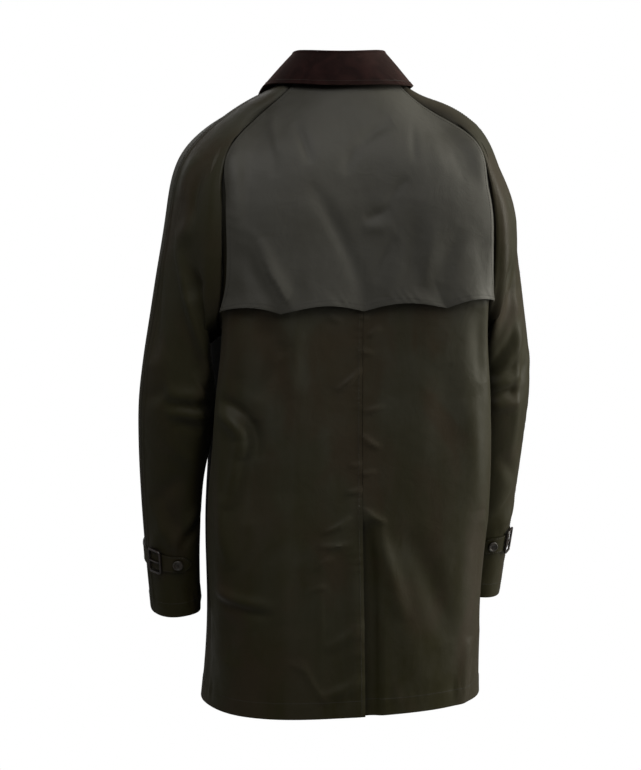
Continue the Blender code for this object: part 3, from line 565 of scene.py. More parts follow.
SLEEVE_RINGS: Table = {
    "over_x":  (0.178,  0.212,  0.231,  0.242,  0.254,  0.2655,
                0.276,  0.2805, 0.278,  0.2725, 0.265,  0.257),
    "over_z":  (-0.062, -0.091, -0.132, -0.188, -0.250, -0.320,
                -0.390, -0.450, -0.520, -0.600, -0.680, -0.754),
    "under_x": (0.1910, 0.1900, 0.1870, 0.1840, 0.1810, 0.1780,
                0.1765, 0.1775, 0.1805, 0.1820, 0.1815, 0.1780),
    "under_z": (-0.370, -0.380, -0.391, -0.404, -0.420, -0.442,
                -0.470, -0.503, -0.550, -0.613, -0.680, -0.743),
    "mid_y":   (0.014,  0.008,  0.004,  0.002,  0.000, -0.003,
                -0.008, -0.018, -0.036, -0.052, -0.066, -0.076),
    "back_x":  (0.212,  0.216,  0.216,  0.2145, 0.213,  0.2155,
                0.220,  0.225,  0.2265, 0.2245, 0.2205, 0.2155),
    "back_y":  (0.128,  0.118,  0.107,  0.096,  0.086,  0.076,
                0.067,  0.055,  0.032,  0.009, -0.011, -0.024),
    "front_x": (0.204,  0.209,  0.2105, 0.211,  0.2105, 0.213,
                0.2185, 0.2245, 0.2265, 0.2245, 0.2205, 0.2155),
    "front_y": (-0.112, -0.104, -0.094, -0.085, -0.078, -0.075,
                -0.076, -0.085, -0.100, -0.110, -0.121, -0.128),
    "dip":     (0.000,  0.000,  0.000,  0.000,  0.000,  0.000,
                0.002,  0.004,  0.006,  0.008,  0.009,  0.009),
}
COLLAR_STATIONS: Table = {
    "place":  (0.00,   0.80,   1.75,   3.00,    4.10,    5.45,   7.00,   7.80),
    "fold_x": (0.000,  0.026,  0.049,  0.0615,  0.0600,  0.051,  0.033,  0.010),
    "fold_y": (0.061,  0.055,  0.037,  0.0120, -0.0170, -0.052, -0.076, -0.0890),
    "fold_z": (0.0335, 0.034,  0.0350, 0.0345,  0.0290,  0.009, -0.017, -0.0390),
    "edge_x": (0.000,  0.041,  0.080,  0.1015,  0.1045,  0.101,  0.088,  0.0640),
    "edge_y": (0.087,  0.083,  0.060,  0.0200, -0.0220, -0.066, -0.093, -0.1060),
    "edge_z": (-0.012, -0.0114, -0.0092, -0.0103, -0.0180, -0.036, -0.067, -0.1020),
}
NECK_BACK = 0.000                # heights of the neck seam: centre back,
NECK_SHOULDER = -0.010           # over the shoulder
NECK_FRONT = -0.075              # and centre front
NECK_CURVE = 1.5                 # how the neck line rises from the centre to the raglan seam
VENT_TOP = -0.621


@dataclass(frozen=True)
class BodyForm:
    """The form of the worn body: an outline at each height, and the neck and raglan seams."""

    outlines: Table = field(default_factory=lambda: BODY_OUTLINES)
    armhole_steps: int = 110
    waist_steps: int = 82
    skirt_steps: int = 76

    def points(self, heights: np.ndarray, places: np.ndarray) -> np.ndarray:
        """Points on the form.

        Args:
            heights: a height for each point.
            places: where round the left half each point lies, from 0 at the centre back.

        Returns:
            The points, one a row.
        """
        heights, places = np.asarray(heights, float), np.asarray(places, float)
        zero = np.zeros(len(heights))
        read = {name: smooth(self.outlines["height"], column, heights)
                for name, column in self.outlines.items()}
        half = [np.stack([read.get(name + "_x", zero), read[name + "_y"]], axis=1)
                for name in PLACES]
        knots = np.stack([mirrored(half[1]), *half, mirrored(half[-2])], axis=1)
        low = np.clip(places.astype(int), 0, len(PLACES) - 2)
        t = (places - low)[:, None]
        a, b, c, d = (knots[np.arange(len(low)), low + step] for step in range(4))
        plan = b + 0.5 * t * (c - a + t * (2 * a - 5 * b + 4 * c - d + t * (3 * (b - c) + d - a)))
        return np.column_stack((plan, heights))

    def seam(self, raglan: Table, fractions: np.ndarray) -> tuple[np.ndarray, np.ndarray]:
        """Heights and places of a raglan seam at fractions of its length."""
        rows = range(len(raglan["height"]))
        fine = np.linspace(0, rows[-1], SAMPLES)
        heights = smooth(rows, raglan["height"], fine)
        places = smooth(rows, raglan["place"], fine)
        along = run(self.points(heights, places))
        at = np.asarray(fractions) * along[-1]
        return np.interp(at, along, heights), np.interp(at, along, places)

    def panel(self, raglan: Table, centre: int, neck: float, columns: np.ndarray,
              lap: np.ndarray) -> np.ndarray:
        """Grid of a back or front panel, from the neck to the hem.

        Args:
            raglan: the seam at its outer edge.
            centre: the place of its centre line.
            neck: height of the neck seam at the centre line.
            columns: fractions of a row's length, 0 at the centre line and 1 at the edge.
            lap: distances past the centre line, in metres, for the columns before them.

        Returns:
            The grid, rows by columns; the laps come first.
        """
        edge_heights, edge_places = self.seam(raglan, np.linspace(0, 1, self.armhole_steps + 1))
        underarm, hem = edge_heights[-1], self.outlines["height"][-1]
        below = np.concatenate((np.linspace(underarm, VENT_TOP, self.waist_steps + 1)[1:],
                                np.linspace(VENT_TOP, hem, self.skirt_steps + 1)[1:]))
        centre_heights = np.concatenate((np.linspace(neck, underarm, self.armhole_steps + 1), below))
        edge_heights = np.concatenate((edge_heights, below))
        edge_places = np.concatenate((edge_places, np.full(len(below), edge_places[-1])))
        rows = []
        t = np.linspace(0, 1, SAMPLES)
        for low, high, place_out in zip(centre_heights, edge_heights, edge_places):
            path = self.points(low + (high - low) * t ** NECK_CURVE, centre + (place_out - centre) * t)
            length = run(path)[-1]
            shrink = min(1.0, length / 0.2)
            past = spaced(path, lap * shrink / length)
            past[:, 0] *= -1
            rows.append(np.concatenate((past, spaced(path, columns))))
        return np.array(rows)

    def line(self, fold: FoldLine) -> np.ndarray:
        """Points of a fold given by its way round from the centre back and its height."""
        route = fold.route()
        places = np.linspace(0, len(PLACES) - 1, SAMPLES)
        points = []
        for around, height in route:
            path = self.points(np.full(SAMPLES, height), places)
            place = np.interp(abs(around), run(path), places)
            point = self.points(np.array([height]), np.array([place]))[0]
            points.append(mirrored(point) if around < 0 else point)
        return np.array(points)

    def neck_heights(self, places: np.ndarray) -> np.ndarray:
        """Height of the neck seam at places round the body."""
        seam_back, seam_front = RAGLAN_BACK["height"][0], RAGLAN_FRONT["height"][0]
        first, shoulder, last = RAGLAN_BACK["place"][0], PLACES.index("side"), RAGLAN_FRONT["place"][0]
        centre = len(PLACES) - 1
        back = NECK_BACK + (seam_back - NECK_BACK) * np.clip(places / first, 0, 1) ** NECK_CURVE
        ahead = np.clip((centre - places) / (centre - last), 0, 1)
        front = NECK_FRONT + (seam_front - NECK_FRONT) * ahead ** NECK_CURVE
        over = np.interp(places, (first, shoulder, last), (seam_back, NECK_SHOULDER, seam_front))
        return np.where(places < first, back, np.where(places > last, front, over))


@dataclass(frozen=True)
class SleeveForm:
    """The form of the left sleeve, from the raglan seams to the cuff."""

    body: BodyForm
    rings: Table = field(default_factory=lambda: SLEEVE_RINGS)
    cap_steps: int = 22
    ring_steps: int = 15
    neck_columns: int = 6
    seam_columns: int = 6
    seam_parts: int = 10
    cap_bulge: float = 0.0125        # how far its head rounds out over the shoulder
    cap_roll: float = 0.0085         # and beside the raglan seam, half way down
    clearance: float = 0.0068        # from the body
    ease_rows: float = 16.0          # rows to both sides of the arm's first ring that are eased
    ease_turns: int = 200
    soft_turns: int = 24
    soft_rows: int = 70              # rows from the neck that are softened in full,
    soft_fade: int = 20              # and over which it ends
    squareness: float = 2.25         # exponent of a ring's outline, 2 is an ellipse
    fold_unit: tuple[float, float] = (0.0012, 0.045)  # a degree round the arm and a ring, in metres
    over_turn: float = 0.20          # the seam over the arm lies so far (radians) to the back

    def first_ring(self, raglan: Table) -> np.ndarray:
        """Edge of a sleeve half: from the shoulder along the neck, then down the seam."""
        seam_place = raglan["place"][0]
        places = np.linspace(PLACES.index("side"), seam_place, self.neck_columns + 1)[:-1]
        neck = self.body.points(self.body.neck_heights(places), places)
        fractions = np.linspace(0, 1, self.seam_columns * self.seam_parts + 1)
        return np.concatenate((neck, self.body.points(*self.body.seam(raglan, fractions))))

    def kept_clear(self, points: np.ndarray, least: np.ndarray) -> np.ndarray:
        """Move points that lie nearer to the body than the least distance straight out from it."""
        count = 97
        places = np.linspace(0, len(PLACES) - 1, count)
        heights = np.repeat(points[:, 2], count)
        outline = self.body.points(heights, np.tile(places, len(points)))[:, :2]
        outline = outline.reshape(len(points), count, 2)
        nearest = np.linalg.norm(outline - points[:, None, :2], axis=2).argmin(axis=1)
        nearest = np.clip(nearest, 1, count - 2)
        rows = np.arange(len(points))
        ahead = outline[rows, nearest + 1] - outline[rows, nearest - 1]
        outward = unit(np.stack((-ahead[:, 1], ahead[:, 0]), axis=1))
        spare = ((points[:, :2] - outline[rows, nearest]) * outward).sum(axis=1) - least
        moved = points.copy()
        moved[:, :2] += outward * ((np.hypot(spare, least) - spare) / 2)[:, None]
        return moved

    def even(self) -> np.ndarray:
        """The columns' shares of the way from the seam over the arm to the seam under it."""
        steps = np.concatenate((np.linspace(0, 1, self.neck_columns + 1)[:-1],
                                np.linspace(1, 1 + self.seam_parts,
                                            self.seam_columns * self.seam_parts + 1)))
        return steps / steps[-1]

    def shares(self, number: float, first: np.ndarray) -> np.ndarray:
        """How a ring shares its turn among the columns: by height near the shoulder, then evenly."""
        even = self.even()
        top = float(smooth(range(len(self.rings["over_z"])), self.rings["over_z"], min(number, 1.0)))
        fall = np.clip((top - first[:, 2]) / (top - first[-1, 2]), 0, 1)
        by_height = (np.arccos(1 - 2 * fall) / math.pi + even) / 2
        arm = len(self.rings["over_x"]) // 2
        return by_height + (even - by_height) * ease(number / arm)

    def ring(self, number: float, turns: np.ndarray, way: int) -> np.ndarray:
        """Points of a ring; turns run from the outermost line, way is +1 to the back."""
        rows = range(len(self.rings["over_x"]))
        at = {name: float(smooth(rows, column, number)) for name, column in self.rings.items()}
        over = np.array([at["over_x"], at["mid_y"], at["over_z"]])
        under = np.array([at["under_x"], at["mid_y"], at["under_z"]])
        middle = (over + under) / 2
        back = np.array([at["back_x"], at["back_y"], middle[2] - at["dip"]])
        front = np.array([at["front_x"], at["front_y"], middle[2] + at["dip"]])
        power = 2 / self.squareness
        along = np.sign(np.cos(turns)) * np.abs(np.cos(turns)) ** power
        aside = np.abs(np.sin(turns)) ** power
        reach = np.where((np.sin(turns) * way >= 0)[:, None], back - middle, front - middle)
        return middle + (over - under) / 2 * along[:, None] + reach * aside[:, None]

    def half(self, raglan: Table, way: int) -> np.ndarray:
        """Grid of the back (way 1) or front (way -1) half of the left sleeve."""
        first = self.first_ring(raglan)
        start = self.over_turn * way
        last = len(self.rings["over_x"]) - 1
        rings = []
        for number in np.linspace(0, last, last * self.ring_steps + 1):
            turns = start + (math.pi - start) * self.shares(number, first)
            rings.append(self.ring(number, turns, way))
        grid = np.array(rings)
        clear = np.full(grid.shape[0] * grid.shape[1], self.clearance)
        grid = self.kept_clear(grid.reshape(-1, 3), clear).reshape(grid.shape)
        outward = unit(grid[0] - grid[0][[0, -1]].mean(axis=0))
        down = self.even()
        rows = [first]
        for share in np.linspace(0, 1, self.cap_steps + 1)[1:-1]:
            bulge = self.cap_bulge * (1 - down) * math.sin(math.pi * share ** 2)
            roll = self.cap_roll * np.sin(math.pi * down) ** 2 * math.sin(math.pi * math.sqrt(share))
            between = first + (grid[0] - first) * share + (bulge + roll)[:, None] * outward
            least = np.full(len(first), self.clearance * min(1.0, share / 0.30))
            rows.append(self.kept_clear(between, np.maximum(least, 1e-6)))
        return self.eased(np.concatenate((np.array(rows), grid)))

    def eased(self, grid: np.ndarray) -> np.ndarray:
        """Ease the turn where the head of the sleeve runs into the arm."""
        rows = np.arange(len(grid))
        near = np.exp(-((rows - self.cap_steps) / self.ease_rows) ** 2)
        share = (near * ease((rows - 1) / 6))[1:-1, None, None] / 2
        grid = grid.copy()
        for _ in range(self.ease_turns):
            grid[1:-1] += share * (grid[:-2] + grid[2:] - 2 * grid[1:-1]) / 2
        arm = grid[self.cap_steps // 3:]
        clear = np.full(arm.shape[0] * arm.shape[1], self.clearance)
        grid[self.cap_steps // 3:] = self.kept_clear(arm.reshape(-1, 3), clear).reshape(arm.shape)
        near = ease((rows - 2) / 6) * (1 - ease((rows - self.soft_rows) / self.soft_fade))
        share = near[1:-1, None, None] / 4
        for _ in range(self.soft_turns):
            grid[1:-1] += share * (grid[:-2] + grid[2:] - 2 * grid[1:-1])
            aside = grid[1:-1, :-2] + grid[1:-1, 2:] - 2 * grid[1:-1, 1:-1]
            grid[1:-1, 1:-1] += share * aside
        return grid

    def line(self, fold: FoldLine) -> np.ndarray:
        """Points of a fold given by its turn round the arm in degrees (back +) and its ring."""
        points = []
        for turn, number in fold.route(self.fold_unit):
            way = 1 if turn >= 0 else -1
            turns = np.array([abs(math.radians(turn)) * way])
            points.append(self.ring(number, turns, way)[0])
        return np.array(points)


@dataclass(frozen=True)
class CollarForm:
    """The form of the turned-down collar: a stand up to the fold, a fall down to the edge."""

    body: BodyForm
    stations: Table = field(default_factory=lambda: COLLAR_STATIONS)
    rise: float = 0.0033             # the stand's lower edge above the neck seam, in the middle
    fold_radius: float = 0.0022
    stand_drop: float = 0.0006       # the stand's upper edge, under the fold
    belly: float = 0.0030            # how far the fall rounds out
    belly_lost: float = 0.75         # the share of it that is lost at the sides of the neck
    belly_lost_by: float = 3.0       # from this station on
    columns: int = 32                # for each station
    fold_rows: int = 8
    fall_rows: int = 22
    stand_rows: int = 12

    def at(self, name: str, places: np.ndarray) -> np.ndarray:
        """Points of the collar's fold or edge; stations below 0 are on the right."""
        half = np.stack([self.stations[name + axis] for axis in ("_x", "_y", "_z")], axis=1)
        whole = both_sides(half)
        numbers = np.arange(1 - len(half), len(half))
        return np.stack([smooth(numbers, whole[:, axis], places) for axis in range(3)], axis=1)

    def neck(self, places: np.ndarray) -> np.ndarray:
        """Points of the neck seam at the collar's stations."""
        numbers = range(len(self.stations["place"]))
        around = smooth(numbers, self.stations["place"], np.abs(places))
        points = self.body.points(self.body.neck_heights(around), around)
        points[:, 0] *= np.where(places < 0, -1, 1)
        return points

    def grids(self) -> tuple[np.ndarray, np.ndarray]:
        """Grids of the stand and of the fall."""
        last = len(self.stations["place"]) - 1
        places = np.linspace(-last, last, 2 * last * self.columns + 1)
        neck, fold, edge = self.neck(places), self.at("fold", places), self.at("edge", places)
        ahead = np.gradient(fold, axis=0)
        out = unit(np.stack([ahead[:, 1], -ahead[:, 0], np.zeros(len(places))], axis=1))
        out *= np.sign(out[len(places) // 2, 1])
        up = np.array([0.0, 0.0, 1.0])
        radius = self.fold_radius
        inside = fold - radius * out - 1.2 * radius * up
        outside = fold + radius * out - 1.2 * radius * up
        foot = neck + self.rise * up
        stand = [foot + (inside - self.stand_drop * up - foot) * share
                 for share in np.linspace(0, 1, self.stand_rows + 1)]
        fall = []
        for angle in np.linspace(math.pi, 0, self.fold_rows + 1):
            fall.append(fold + radius * (math.cos(angle) * out + (1.1 * math.sin(angle) - 1.2) * up))
        kept = 1 - self.belly_lost * ease(np.abs(places) / self.belly_lost_by)
        for share in np.linspace(0, 1, self.fall_rows + 1)[1:]:
            belly = self.belly * math.sin(math.pi * share) * kept[:, None]
            fall.append(outside + (edge - outside) * share + belly * (0.8 * out + 0.6 * up))
        return np.array(stand), np.array(fall)


@dataclass(frozen=True)
class CapeForm:
    """The form of the storm cape, over both backs and free at its arched hem."""

    back_steps: int                  # fine rows of the back to each coarse one
    coarse_rows: int = 8             # the last coarse row above the hem
    top: float = 0.08                # upper edge, in coarse rows of the back
    hem: float = -0.314              # height of the points between the arches
    arches: int = 4
    arch_rise: float = 0.0095
    gap: float = 0.0008              # clear space under it at its seams
    stand_off: float = 0.0045        # its hem, clear of the back
    arch_lift: float = 0.0055        # and further so at the top of each arch
    inset: float = 0.0034            # its side edge, in from the raglan seam at the shoulder
    hem_inset: float = 0.0060        # and at the hem
    rows: int = 96
    cloth: float = 0.0012

    def grid(self, back: np.ndarray) -> np.ndarray:
        """Grid of the cape, worked out from the left back's own points.

        Args:
            back: fine grid of the left back, from the centre line out.

        Returns:
            The grid, from the right edge to the left one.
        """
        normals = grid_normals(back, False)
        last = back.shape[1] - 1
        columns = np.arange(last + 1, dtype=float)
        reach = columns / last
        middle = 5 * self.back_steps
        edge_step = np.linalg.norm(back[middle, last] - back[middle, last - 1])
        hem_rows = self.hem_rows(back, columns, reach)
        lines = []
        for share in np.linspace(0, 1, self.rows + 1):
            down = self.top / (self.coarse_rows + 1) + share * (1 - self.top / (self.coarse_rows + 1))
            inset = self.inset + (self.hem_inset - self.inset) * down ** 3
            at = reach * (last - inset / edge_step)
            row = self.top * self.back_steps + share * (hem_rows - self.top * self.back_steps)
            spot = sampled(back, row, at)
            outward = unit(sampled(normals, row, at))
            arch = np.abs(np.sin(math.pi * reach * self.arches / 2))
            lift = self.cloth + self.gap + self.stand_off * down ** 1.5 + self.arch_lift * arch * down ** 9
            lines.append(both_sides(spot + lift[:, None] * outward))
        return np.array(lines)

    def hem_rows(self, back: np.ndarray, columns: np.ndarray, reach: np.ndarray) -> np.ndarray:
        """Rows of the back at which the cape's arched hem lies."""
        arch = np.abs(np.sin(math.pi * reach * self.arches / 2))
        heights = self.hem + self.arch_rise * arch
        rows = np.arange(back.shape[0], dtype=float)
        found = []
        for column, height in zip(columns.astype(int), heights):
            found.append(np.interp(-height, -back[:, column, 2], rows))
        return np.array(found)


@dataclass(frozen=True)
class CuffForm:
    """Places on the left sleeve near the cuff, by the way round it and the height."""

    points: np.ndarray
    normals: np.ndarray
    seam: int
    height: float = -0.672           # middle of the strap on the outer side

    def spots(self, along: np.ndarray, across: np.ndarray, lift: float) -> tuple[np.ndarray, np.ndarray]:
        """Places so far behind the seam over the arm, and so far above the strap's middle.

        Args:
            along: metres round the sleeve, from the seam over the arm to the back.
            across: metres up from the strap's middle.
            lift: how far out from the sleeve's surface.

        Returns:
            The places and their outward normals.
        """
        along, across = np.atleast_1d(along).astype(float), np.atleast_1d(across).astype(float)
        count = np.arange(len(self.points), dtype=float)
        row = float(np.interp(-self.height, -self.points[:, self.seam, 2], count))
        columns = np.arange(self.points.shape[1], dtype=float)
        ring = sampled(self.points, np.full(len(columns), row), columns)
        around = run(ring) - run(ring)[self.seam]
        low = int(row)
        step = np.linalg.norm(self.points[low, self.seam] - self.points[low + 1, self.seam])
        at = np.interp(along, around, columns)
        rows = row - across / step
        outward = unit(sampled(self.normals, rows, at))
        return sampled(self.points, rows, at) + lift * outward, outward


# --- Where the folds lie -----------------------------------------------------------------
# Columns: kind; start, round and down; end, round and down; bow; width; depth.
# On the body: metres round from the centre back (the right side below 0) and height.

CAPE_FOLDS = fold_table(
    (TROUGH, 0.085, -0.062, 0.072, -0.116, -0.04, 0.0065, 0.0038),
    (TROUGH, -0.050, -0.064, 0.004, -0.096, 0.08, 0.0085, 0.0032),
    (TROUGH, 0.002, -0.092, 0.024, -0.130, 0.05, 0.0090, 0.0022),
    (TROUGH, -0.080, -0.062, -0.074, -0.118, 0.04, 0.0060, 0.0016),
    (TROUGH, 0.074, -0.140, -0.004, -0.308, -0.04, 0.0110, 0.0037),
    (TROUGH, -0.064, -0.136, -0.034, -0.182, 0.10, 0.0080, 0.0022),
    (TROUGH, -0.040, -0.178, 0.000, -0.191, 0.00, 0.0070, 0.0030),
    (RIDGE, 0.002, -0.201, -0.044, -0.199, 0.05, 0.0070, 0.0020),
    (TROUGH, -0.046, -0.214, -0.016, -0.276, 0.05, 0.0095, 0.0035),
    (RIDGE, -0.056, -0.252, -0.026, -0.306, 0.03, 0.0090, 0.0020),
    (TROUGH, -0.074, -0.168, -0.070, -0.296, 0.02, 0.0140, 0.0022),
    (RIDGE, -0.100, -0.196, -0.084, -0.284, 0.03, 0.0120, 0.0020),
    (TROUGH, -0.134, -0.206, -0.104, -0.276, 0.02, 0.0130, 0.0024),
    (RIDGE, 0.172, -0.098, 0.168, -0.236, 0.02, 0.0110, 0.0038),
    (CREASE, 0.168, -0.192, 0.131, -0.238, -0.08, 0.0070, 0.0043),
    (LAP, 0.096, -0.316, 0.148, -0.214, -0.05, 0.0130, 0.0052),
    (RIDGE, 0.112, -0.042, 0.114, -0.104, 0.04, 0.0075, 0.0026),
    (TROUGH, 0.124, -0.070, 0.120, -0.132, -0.03, 0.0080, 0.0023),
    (RIDGE, -0.108, -0.070, -0.112, -0.140, 0.05, 0.0110, 0.0012),
    (RIDGE, -0.150, -0.130, -0.164, -0.230, -0.03, 0.0120, 0.0014),
    (TROUGH, -0.132, -0.092, -0.146, -0.146, 0.04, 0.0080, 0.0011),
    (RIDGE, -0.184, -0.150, -0.176, -0.330, 0.00, 0.0060, 0.0014),
)
BACK_FOLDS = fold_table(
    (TROUGH, 0.131, -0.310, 0.108, -0.372, 0.08, 0.0150, 0.0059),
    (TROUGH, 0.108, -0.352, 0.144, -0.430, -0.06, 0.0140, 0.0050),
    (RIDGE, 0.158, -0.318, 0.166, -0.400, 0.03, 0.0130, 0.0038),
    (RIDGE, 0.092, -0.318, 0.098, -0.430, 0.03, 0.0120, 0.0023),
    (LAP, 0.206, -0.446, 0.158, -0.512, -0.22, 0.0120, 0.0102),
    (RIDGE, 0.166, -0.486, 0.178, -0.580, -0.05, 0.0110, 0.0080),
    (RIDGE, 0.182, -0.560, 0.172, -0.664, 0.05, 0.0110, 0.0071),
    (TROUGH, 0.146, -0.456, 0.146, -0.600, 0.02, 0.0150, 0.0062),
    (LAP, 0.118, -0.716, 0.216, -0.694, -0.03, 0.0090, 0.0050),
    (TROUGH, 0.176, -0.720, 0.196, -0.800, 0.04, 0.0200, 0.0050),
    (CREASE, 0.052, -0.314, 0.028, -0.328, 0.06, 0.0034, 0.0034),
    (CREASE, 0.010, -0.318, -0.008, -0.324, 0.05, 0.0032, 0.0032),
    (CREASE, -0.004, -0.350, -0.024, -0.336, 0.08, 0.0036, 0.0037),
    (CREASE, 0.006, -0.368, -0.016, -0.371, 0.10, 0.0032, 0.0032),
    (CREASE, 0.038, -0.422, 0.002, -0.392, 0.05, 0.0044, 0.0050),
    (CREASE, 0.001, -0.451, -0.030, -0.444, 0.08, 0.0036, 0.0037),
    (CREASE, 0.001, -0.482, -0.026, -0.502, 0.12, 0.0036, 0.0048),
    (CREASE, 0.002, -0.538, -0.018, -0.534, 0.05, 0.0032, 0.0034),
    (CREASE, 0.024, -0.563, 0.001, -0.556, 0.06, 0.0034, 0.0032),
    (CREASE, 0.018, -0.526, 0.001, -0.521, 0.05, 0.0030, 0.0027),
    (CREASE, -0.001, -0.584, -0.034, -0.606, 0.10, 0.0040, 0.0050),
    (CREASE, 0.054, -0.616, 0.016, -0.594, 0.08, 0.0042, 0.0048),
    (CREASE, 0.060, -0.634, 0.018, -0.631, 0.06, 0.0042, 0.0037),
    (RIDGE, -0.004, -0.590, -0.056, -0.745, -0.03, 0.0125, 0.0050),
    (RIDGE, -0.046, -0.700, -0.092, -0.850, 0.02, 0.0240, 0.0022),
    (TROUGH, -0.056, -0.616, -0.124, -0.780, -0.05, 0.0180, 0.0041),
    (TROUGH, -0.011, -0.600, -0.013, -0.885, 0.00, 0.0070, 0.0090),
    (RIDGE, 0.010, -0.616, 0.010, -0.900, 0.00, 0.0140, 0.0032),
    (RIDGE, 0.056, -0.776, 0.001, -0.738, 0.08, 0.0075, 0.0032),
    (RIDGE, 0.068, -0.842, 0.004, -0.814, 0.10, 0.0080, 0.0038),
    (CREASE, 0.088, -0.786, 0.048, -0.856, 0.06, 0.0050, 0.0035),
    (CREASE, 0.104, -0.790, 0.078, -0.806, 0.06, 0.0045, 0.0027),
    (CREASE, 0.057, -0.616, 0.060, -0.864, 0.00, 0.0026, 0.0012),
    (CREASE, 0.040, -0.650, 0.062, -0.668, 0.10, 0.0040, 0.0032),
    (CREASE, 0.048, -0.690, 0.076, -0.700, 0.10, 0.0040, 0.0020),
    (RIDGE, -0.166, -0.780, -0.150, -0.885, 0.02, 0.0120, 0.0046),
    (TROUGH, -0.168, -0.318, -0.176, -0.420, 0.03, 0.0140, 0.0046),
    (TROUGH, -0.120, -0.390, -0.130, -0.520, 0.04, 0.0240, 0.0029),
    (RIDGE, -0.160, -0.440, -0.170, -0.600, -0.03, 0.0200, 0.0038),
    (TROUGH, -0.190, -0.620, -0.196, -0.780, 0.03, 0.0220, 0.0044),
    (RIDGE, 0.108, -0.560, 0.112, -0.740, 0.02, 0.0260, 0.0032),
    (TROUGH, 0.080, -0.640, 0.090, -0.760, 0.03, 0.0180, 0.0021),
    (RIDGE, 0.240, -0.500, 0.256, -0.800, 0.04, 0.0240, 0.0059),
    (TROUGH, 0.286, -0.560, 0.300, -0.830, -0.03, 0.0220, 0.0059),
    (RIDGE, -0.236, -0.470, -0.250, -0.800, -0.04, 0.0240, 0.0052),
    (TROUGH, -0.284, -0.540, -0.300, -0.840, 0.03, 0.0220, 0.0059),
)
FRONT_FOLDS = fold_table(
    (TROUGH, 0.420, -0.150, 0.500, -0.230, 0.06, 0.0120, 0.0034),
    (RIDGE, 0.410, -0.190, 0.490, -0.290, 0.05, 0.0110, 0.0030),
    (TROUGH, -0.425, -0.140, -0.510, -0.210, -0.06, 0.0120, 0.0032),
    (RIDGE, -0.415, -0.200, -0.480, -0.310, 0.04, 0.0120, 0.0030),
    (LAP, 0.560, -0.270, 0.500, -0.350, 0.08, 0.0100, 0.0034),
    (TROUGH, -0.560, -0.380, -0.490, -0.470, 0.06, 0.0120, 0.0032),
    (CREASE, 0.600, -0.398, 0.560, -0.412, 0.08, 0.0050, 0.0020),
    (CREASE, -0.590, -0.270, -0.556, -0.286, 0.08, 0.0050, 0.0018),
    (CREASE, 0.598, -0.540, 0.552, -0.520, 0.08, 0.0052, 0.0020),
    (RIDGE, 0.470, -0.500, 0.480, -0.760, 0.03, 0.0240, 0.0044),
    (TROUGH, 0.520, -0.560, 0.535, -0.860, -0.03, 0.0220, 0.0040),
    (RIDGE, 0.570, -0.620, 0.585, -0.890, 0.02, 0.0200, 0.0030),
    (RIDGE, -0.460, -0.480, -0.476, -0.780, -0.03, 0.0240, 0.0040),
    (TROUGH, -0.515, -0.600, -0.528, -0.880, 0.03, 0.0220, 0.0042),
    (LAP, 0.390, -0.420, 0.440, -0.500, 0.10, 0.0120, 0.0040),
    (LAP, -0.395, -0.440, -0.440, -0.540, -0.08, 0.0120, 0.0040),
    (TROUGH, -0.400, -0.700, -0.420, -0.870, 0.04, 0.0200, 0.0036),
    (TROUGH, 0.396, -0.660, 0.410, -0.860, 0.04, 0.0200, 0.0036),
)
# On a sleeve: degrees round from its outermost line (the back above 0) and ring.
LEFT_SLEEVE_FOLDS = fold_table(
    (TROUGH, 50, 0.4, 66, 2.1, 0.02, 0.0095, 0.0057),
    (RIDGE, 30, 0.7, 36, 2.2, 0.02, 0.0140, 0.0030),
    (RIDGE, 34, 2.9, 92, 5.1, 0.04, 0.0110, 0.0044),
    (LAP, 118, 5.0, 46, 3.3, 0.06, 0.0105, 0.0057),
    (RIDGE, 84, 2.9, 122, 3.7, 0.04, 0.0110, 0.0037),
    (TROUGH, 84, 3.4, 128, 4.2, 0.03, 0.0100, 0.0039),
    (CREASE, 88, 5.4, 116, 5.7, 0.08, 0.0070, 0.0032),
    (CREASE, 84, 6.1, 120, 6.3, 0.06, 0.0065, 0.0025),
    (TROUGH, 16, 4.2, 30, 5.9, 0.03, 0.0120, 0.0032),
    (RIDGE, -48, 5.5, -12, 6.1, 0.05, 0.0150, 0.0030),
    (TROUGH, -58, 6.2, -14, 6.8, 0.05, 0.0110, 0.0036),
    (LAP, -110, 5.6, -50, 6.4, 0.08, 0.0110, 0.0057),
    (LAP, -120, 6.4, -60, 6.9, -0.06, 0.0110, 0.0057),
    (RIDGE, 60, 7.3, 128, 7.9, 0.04, 0.0120, 0.0030),
    (TROUGH, 56, 8.6, 104, 9.4, 0.06, 0.0110, 0.0039),
    (RIDGE, 44, 8.9, 84, 9.7, 0.04, 0.0090, 0.0030),
    (LAP, 128, 8.7, 72, 9.6, 0.05, 0.0090, 0.0039),
    (TROUGH, 96, 10.2, 118, 10.9, 0.02, 0.0090, 0.0025),
    (RIDGE, -70, 1.2, -40, 3.2, 0.05, 0.0150, 0.0041),
    (TROUGH, -94, 1.6, -72, 3.8, 0.04, 0.0130, 0.0046),
    (LAP, -60, 3.4, -100, 4.6, 0.05, 0.0110, 0.0051),
    (TROUGH, -88, 8.1, -30, 8.8, 0.05, 0.0110, 0.0039),
    (RIDGE, -60, 9.1, -20, 9.7, 0.05, 0.0100, 0.0030),
)
